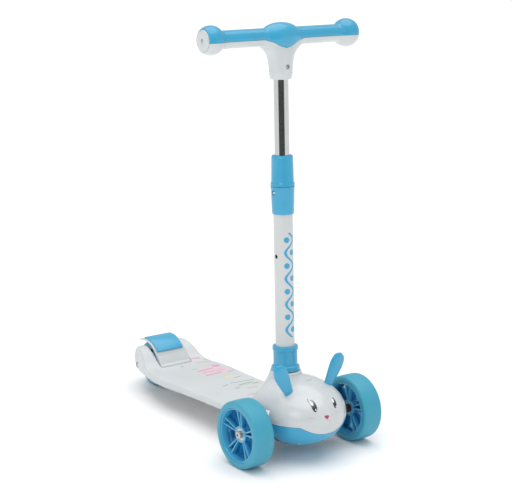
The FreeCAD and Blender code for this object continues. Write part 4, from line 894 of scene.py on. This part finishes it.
def plan_block(name, inset, front, rear, top, depth):
    """A block with the deck's plan shape, drawn in by an inset."""
    rows = 32
    length = rear - front
    sheet = start("grid", name, x_subdivisions=2, y_subdivisions=rows, size=1,
                  location=Vector((0, (front + rear) / 2, top)) * MM)
    sheet.scale = Vector((2, length, 1)) * MM
    settle(sheet)
    with Shaping(sheet) as work:
        for row in range(rows + 1):
            y = front + length * row / rows
            share = (y - DECK_FRONT) / (DECK_END - DECK_FRONT)
            half = curve_through(HALF_WIDTHS, share) - inset
            work.pick("VERT", lambda spot, _: abs(spot.y - y * MM) < 0.2 * MM)
            bpy.ops.transform.resize(value=(half, 1, 1), center_override=(0, 0, 0))
        work.all()
        bpy.ops.mesh.extrude_region_move(TRANSFORM_OT_translate={"value": (0, 0, -depth * MM)})
        work.clean()
    return sheet


def slope_down(piece):
    """Tilt a level piece onto the deck's gentle slope."""
    pivot = Matrix.Translation(Vector((0, SLOPE_Y, DECK_TOP)) * MM)
    return settle(piece, pivot @ Matrix.Rotation(-DECK_SLOPE, 4, "X") @ pivot.inverted())


def neck_block(name, inset, low, high):
    """The flared neck round the column's foot, between two heights."""
    levels = [(58, 72, 74), (80, 66, 67), (102, 52, 50), (118, 38.5, 37.5), (131, 31, 31),
              (NECK_TOP, 28, 28)]
    wide = [(z, a) for z, a, _ in levels]
    deep = [(z, b) for z, _, b in levels]
    first = curve_through(wide, low) - inset, curve_through(deep, low) - inset
    ring = start("circle", name, vertices=96, radius=MM, fill_type="NGON",
                 location=Vector((0, FOOT_Y + low * math.tan(RAKE), low)) * MM)
    ring.scale = (*first, 1)
    settle(ring)
    with Shaping(ring) as work:
        work.all()
        before = (low, *first)
        steps = 16
        for index in range(1, steps + 1):
            height = low + (high - low) * index / steps
            here = curve_through(wide, height) - inset, curve_through(deep, height) - inset
            rise = (height - before[0]) * MM
            step = (0, rise * math.tan(RAKE), rise)
            bpy.ops.mesh.extrude_region_move(TRANSFORM_OT_translate={"value": step})
            bpy.ops.transform.resize(value=(here[0] / before[1], here[1] / before[2], 1))
            before = (height, *here)
        work.clean()
    return ring


def level(y):
    """The height of the deck's top at a place along it."""
    return DECK_TOP - (y - SLOPE_Y) * math.tan(DECK_SLOPE)


def cheeks():
    """The raised tail: a ramp with a round end across the deck's plan, before the wheel's well is cut."""
    y0 = WELL_FRONT - 8
    centre, radius = (DECK_END - 23, 59.5), 23
    rise = [(8, 57.5), (16, 60.5), (24, 65.5), (32, 72), (41, 79), (52, 85), (62, 88.5), (72, 88), (81, 84),
            (89, 77), (94.5, 67.5)]
    side = [(y0, level(y0) - 15), (y0, level(y0))] + [(y0 + along, up) for along, up in rise]
    side += arc(centre, radius, 0, -90, 10)
    piece = start("plane", "cheeks", size=MM)
    with Shaping(piece) as work:
        draw_outline(work, [Vector((-0.1, y * MM, z * MM)) for y, z in side])
        bpy.ops.mesh.remove_doubles(threshold=2e-6)
        bpy.ops.mesh.edge_face_add()
        bpy.ops.mesh.extrude_region_move(TRANSFORM_OT_translate={"value": (0.2, 0, 0)})
        work.clean()
    plan = plan_block("cheek_plan", 0, DECK_FRONT, DECK_END, 120, 120)
    return combine(piece, plan, "INTERSECT")


def deck():
    """The one-piece deck, re-skinned so that the neck and the tail flow out of the platform."""
    platform = plan_block("platform", 0, DECK_FRONT, WELL_FRONT + 24, 0, DECK_DEPTH)
    settle(platform, Matrix.Translation((0, 0, DECK_TOP * MM)))
    soften(platform, 4.5, 4, 50)
    slope_down(platform)
    tail = cheeks()
    for piece in (platform, tail):
        cut(piece, block("well", (-WELL_HALF, WELL_FRONT, 0), (WELL_HALF, DECK_END + 100, 200)))
    whole = joined("deck_moulded", [platform, tail, neck_block("neck", 0, 58, NECK_TOP)])
    blend_over(whole, 1.9, 7)
    hollow = slope_down(plan_block("hollow", WALL, DECK_FRONT - 4, WELL_FRONT - 10, DECK_TOP - WALL, 40))
    cut(whole, hollow, neck_block("neck_hollow", WALL, 54, 95),
        block("truck_space", (-200, DECK_FRONT - 120, 0), (200, DECK_FRONT, 95)))
    bore = settle(drum("bore", TUBE_BORE, (0, 0, 120), "Z", 120), COLUMN)
    rim = settle(block("rim", (-60, -60, NECK_TOP), (60, 60, NECK_TOP + 20)), COLUMN)
    cut(whole, bore, rim)
    for side in (-1, 1):
        cut(whole, drum("recess", 9, (side * 59, REAR_AXLE.y, REAR_AXLE.z), "X", 30))
    return whole


finish_piece(deck(), deck_white, "frame", "white_plastic", "deck", angle=40)


# ------------------------------------------------------------------ head

def ball(name, halves):
    """An egg-shaped solid about the head's middle."""
    piece = start("uv_sphere", name, segments=128, ring_count=64, radius=MM, location=HEAD * MM)
    piece.scale = halves
    return settle(piece)


def head_shell():
    """The rabbit head as one hollow shell, open at the back and at the sides for the axle."""
    shell = ball("head_shell", HEAD_HALVES)
    hollow = ball("head_hollow", HEAD_HALVES - Vector((2.5, 2.5, 2.5)))
    cut(shell, hollow)
    cut(shell, block("back", (-200, DECK_FRONT - 0.3, 0), (200, DECK_FRONT + 200, 300)))
    cut(shell, neck_block("neck_gap", -0.4, 60, 150))
    cut(shell, block("axle_way", (-200, FRONT_AXLE.y - 12, 27), (200, FRONT_AXLE.y + 33, 95)))
    return shell


def chin_region(gap):
    """Everything above the chin line, which bows down under the face."""
    dip, reach, line = 15.5, 50, 74
    radius = (reach ** 2 + dip ** 2) / (2 * dip)
    region = block("chin_region", (-200, HEAD.y - 300, line + gap), (200, HEAD.y + 300, 300))
    bow = drum("bow", radius, (0, HEAD.y, line - dip + radius + gap), "Y", 600, sides=160)
    return combine(region, bow)


def head():
    """The white upper shell and the blue chin shell, with a fine groove where they meet."""
    white = head_shell()
    blue = twin(white, "chin_cover_moulded")
    combine(white, chin_region(0), "INTERSECT")
    cut(blue, chin_region(-0.5))
    white.name = "head_cover_moulded"
    return white, blue


head_cover, chin_cover = head()
finish_piece(head_cover, head_white, "frame", "white_plastic", "head_cover", angle=40)
finish_piece(chin_cover, FINISHES["sky_blue_plastic"], "frame", "sky_blue_plastic", "chin_cover",
             angle=40)


def ear(name):
    """A leaf-shaped ear, standing on Z: a flat blade that slopes up to a smaller face on each side."""
    length, half, thick = 60, 13.5, 9
    widths = [(-4, 7.0), (2, 8.4), (17, 10.8), (30, 12.7), (40, 13.5), (50, 12.0), (56, 8.4), (60, 0.5)]
    leaf = start("circle", name, vertices=56, radius=MM, fill_type="NGON", rotation=(math.pi / 2, 0, 0))
    settle(leaf)
    with Shaping(leaf) as work:
        work.all()
        bpy.ops.transform.resize(value=(half, 1, (length + 4) / 2))
        bpy.ops.transform.translate(value=(0, 0, (length / 2 - 2) * MM))
    for point in leaf.data.vertices:
        wide = curve_through(widths, point.co.z / MM)
        share = math.sqrt(max(0.0, 1 - ((point.co.z / MM - 28) / 32) ** 2)) * half
        point.co.x *= wide / max(share, 0.6) if share > 0.3 else 1.0
    with Shaping(leaf) as work:
        work.all()
        bpy.ops.transform.translate(value=(0, -thick * 0.22 * MM, 0))
        bpy.ops.mesh.extrude_region_move(TRANSFORM_OT_translate={"value": (0, thick * 0.44 * MM, 0)})
        work.clean()
        for side in (-1, 1):
            work.pick("FACE", lambda place, normal: normal.y * side > 0.9)
            bpy.ops.mesh.inset(thickness=0.4 * MM, depth=0.0)
            bpy.ops.transform.resize(value=(0.62, 1, 0.8), center_override=(0, 0, 33 * MM))
            bpy.ops.transform.translate(value=(0, side * thick * 0.28 * MM, 0))
    soften(leaf, 0.7, 3, 25)
    return leaf


for label, side in SIDES:
    lean = Matrix.Rotation(math.radians(27 * side), 4, "Y") @ Matrix.Rotation(math.radians(1), 4, "X")
    place = Matrix.Translation(Vector((43.5 * side, FRONT_AXLE.y - 22, 124)) * MM) @ lean
    piece = settle(ear(f"ear_{label}_moulded"), place)
    cut(piece, ball("head_round", HEAD_HALVES))
    finish_piece(piece, FINISHES["sky_blue_plastic"], "frame", "sky_blue_plastic", "ear_" + label)


# ------------------------------------------------------------------ heel brake

def arch(name, inner, outer, half_width, first, last, steps=40):
    """A curved plate round the rear axle, between two angles counted from the front, in degrees."""
    plate = start("plane", name, size=1)
    a = math.radians(first)
    middle = (inner + outer) / 2
    plate.scale = Vector((2 * half_width, outer - inner, 1)) * MM
    settle(plate)
    toward = Vector((0, -math.cos(a), math.sin(a)))
    across = Vector((0, math.sin(a), math.cos(a)))
    turn = Matrix((Vector((1, 0, 0)), toward, across)).transposed().to_4x4()
    settle(plate, Matrix.Translation((REAR_AXLE + toward * middle) * MM) @ turn)
    with Shaping(plate) as work:
        work.all()
        bpy.ops.mesh.spin(steps=steps, angle=math.radians(last - first), center=REAR_AXLE * MM,
                          axis=(1, 0, 0))
        work.clean()
    return plate


def brake():
    """The white mudguard on its hinge, the blue heel pad on it and the steel shoe under it."""
    hinge = Vector((0, FRONT_AXLE.y + 404, 54))
    guard = arch("brake_fender_moulded", 51, 53.6, 34, 32, 112)
    barrel = drum("barrel", 6, hinge, "X", 68)
    combine(guard, barrel)
    flap = block("flap", (-34, -3, 2), (34, 3, 24))
    settle(flap, Matrix.Translation(hinge * MM) @ Matrix.Rotation(math.radians(-34), 4, "X"))
    combine(guard, flap)
    cut(guard, drum("wheel_room", 51, REAR_AXLE, "X", 80, sides=128))
    cut(guard, block("leg_room", (-11, hinge.y - 12, hinge.z - 12), (11, hinge.y + 4, hinge.z)),
        drum("spring_room", 5.2, hinge, "X", 22))
    soften(guard, 1.2, 3, 40)
    pad = arch("brake_pad_moulded", 53.65, 56.2, 30.5, 41, 97)
    soften(pad, 1.3, 4, 40)
    shoe = arch("brake_shoe_pressed", 49.5, 50.95, 18, 62, 110)
    soften(shoe, 0.4, 2, 40)
    return guard, pad, shoe


for piece, slot, node in zip(brake(), ("white_plastic", "sky_blue_plastic", "steel"),
                             ("brake_fender", "brake_pad", "brake_shoe")):
    finish_piece(piece, FINISHES[slot], "brake", slot, node)


# ------------------------------------------------------------------ camera, floor and light

def floor_and_backdrop():
    """A pale floor under an even white sky."""
    floor = start("plane", "floor", size=160)
    paint = Paint("floor_paper", Roughness=0.9, Specular_IOR_Level=0.0)
    paint.feed("Base Color", paint.mix(paint.noise(3, 2), (0.97, 0.97, 0.97, 1), (0.96, 0.96, 0.96, 1)))
    floor.data.materials.append(paint.material)
    world = bpy.data.worlds.new("studio")
    world.use_nodes = True
    backdrop = world.node_tree.nodes["Background"]
    backdrop.inputs["Color"].default_value = (1.0, 1.0, 1.0, 1)
    backdrop.inputs["Strength"].default_value = 0.57
    bpy.context.scene.world = world


def lamp(kind, name, place, power):
    """A lamp aimed at the head and the deck."""
    let_go()
    bpy.ops.object.light_add(type=kind, location=place)
    made = bpy.context.object
    made.name = name
    made.rotation_euler = (Vector((0, 0, 0.2)) - Vector(place)).to_track_quat("-Z", "Y").to_euler()
    made.data.energy = power
    return made


def lighting():
    """A wide soft light overhead, a small one from the left, and a dark flag for the chrome to mirror."""
    lamp("SUN", "overhead", (0.15, 0.1, 2.5), 1.85).data.angle = 1.25
    lamp("AREA", "front_left", (-2.1, -1.5, 1.5), 10).data.size = 1.0
    flag = start("plane", "dark_flag", size=1, location=(-0.89, -1.38, 0.95),
                 rotation=(math.pi / 2, 0, math.radians(-36.4)))
    flag.scale = (3.0, 1.6, 1)
    settle(flag)
    cloth = Paint("flag_cloth", Base_Color=(0.08, 0.09, 0.09, 1), Roughness=0.9)
    flag.data.materials.append(cloth.material)
    flag.visible_camera = False
    flag.visible_diffuse = False
    flag.visible_shadow = False


def camera():
    """The camera, in front, to the left and a little above."""
    azimuth, elevation, roll = (math.radians(angle) for angle in (-36.4242, 13.2658, 0.53857))
    distance, aim_left, aim_down = 2.565893, 0.0815508, 0.0194997
    back = Vector((math.sin(azimuth) * math.cos(elevation), -math.cos(azimuth) * math.cos(elevation),
                   math.sin(elevation)))
    right = Vector((math.cos(azimuth), math.sin(azimuth), 0))
    up = back.cross(right)
    target = Vector((0, FRONT_AXLE.y * MM, 0.4)) - right * aim_left - up * aim_down
    across = right * math.cos(roll) + up * math.sin(roll)
    over = up * math.cos(roll) - right * math.sin(roll)
    let_go()
    bpy.ops.object.camera_add()
    made = bpy.context.object
    turn = Matrix((across, over, back)).transposed().to_4x4()
    made.matrix_world = Matrix.Translation(target + back * distance) @ turn
    made.data.sensor_width = 36
    made.data.lens = 104.8455
    made.data.clip_start = 0.05
    made.data.clip_end = 100
    bpy.context.scene.camera = made


floor_and_backdrop()
lighting()
camera()
bpy.context.scene.view_settings.view_transform = "Standard"
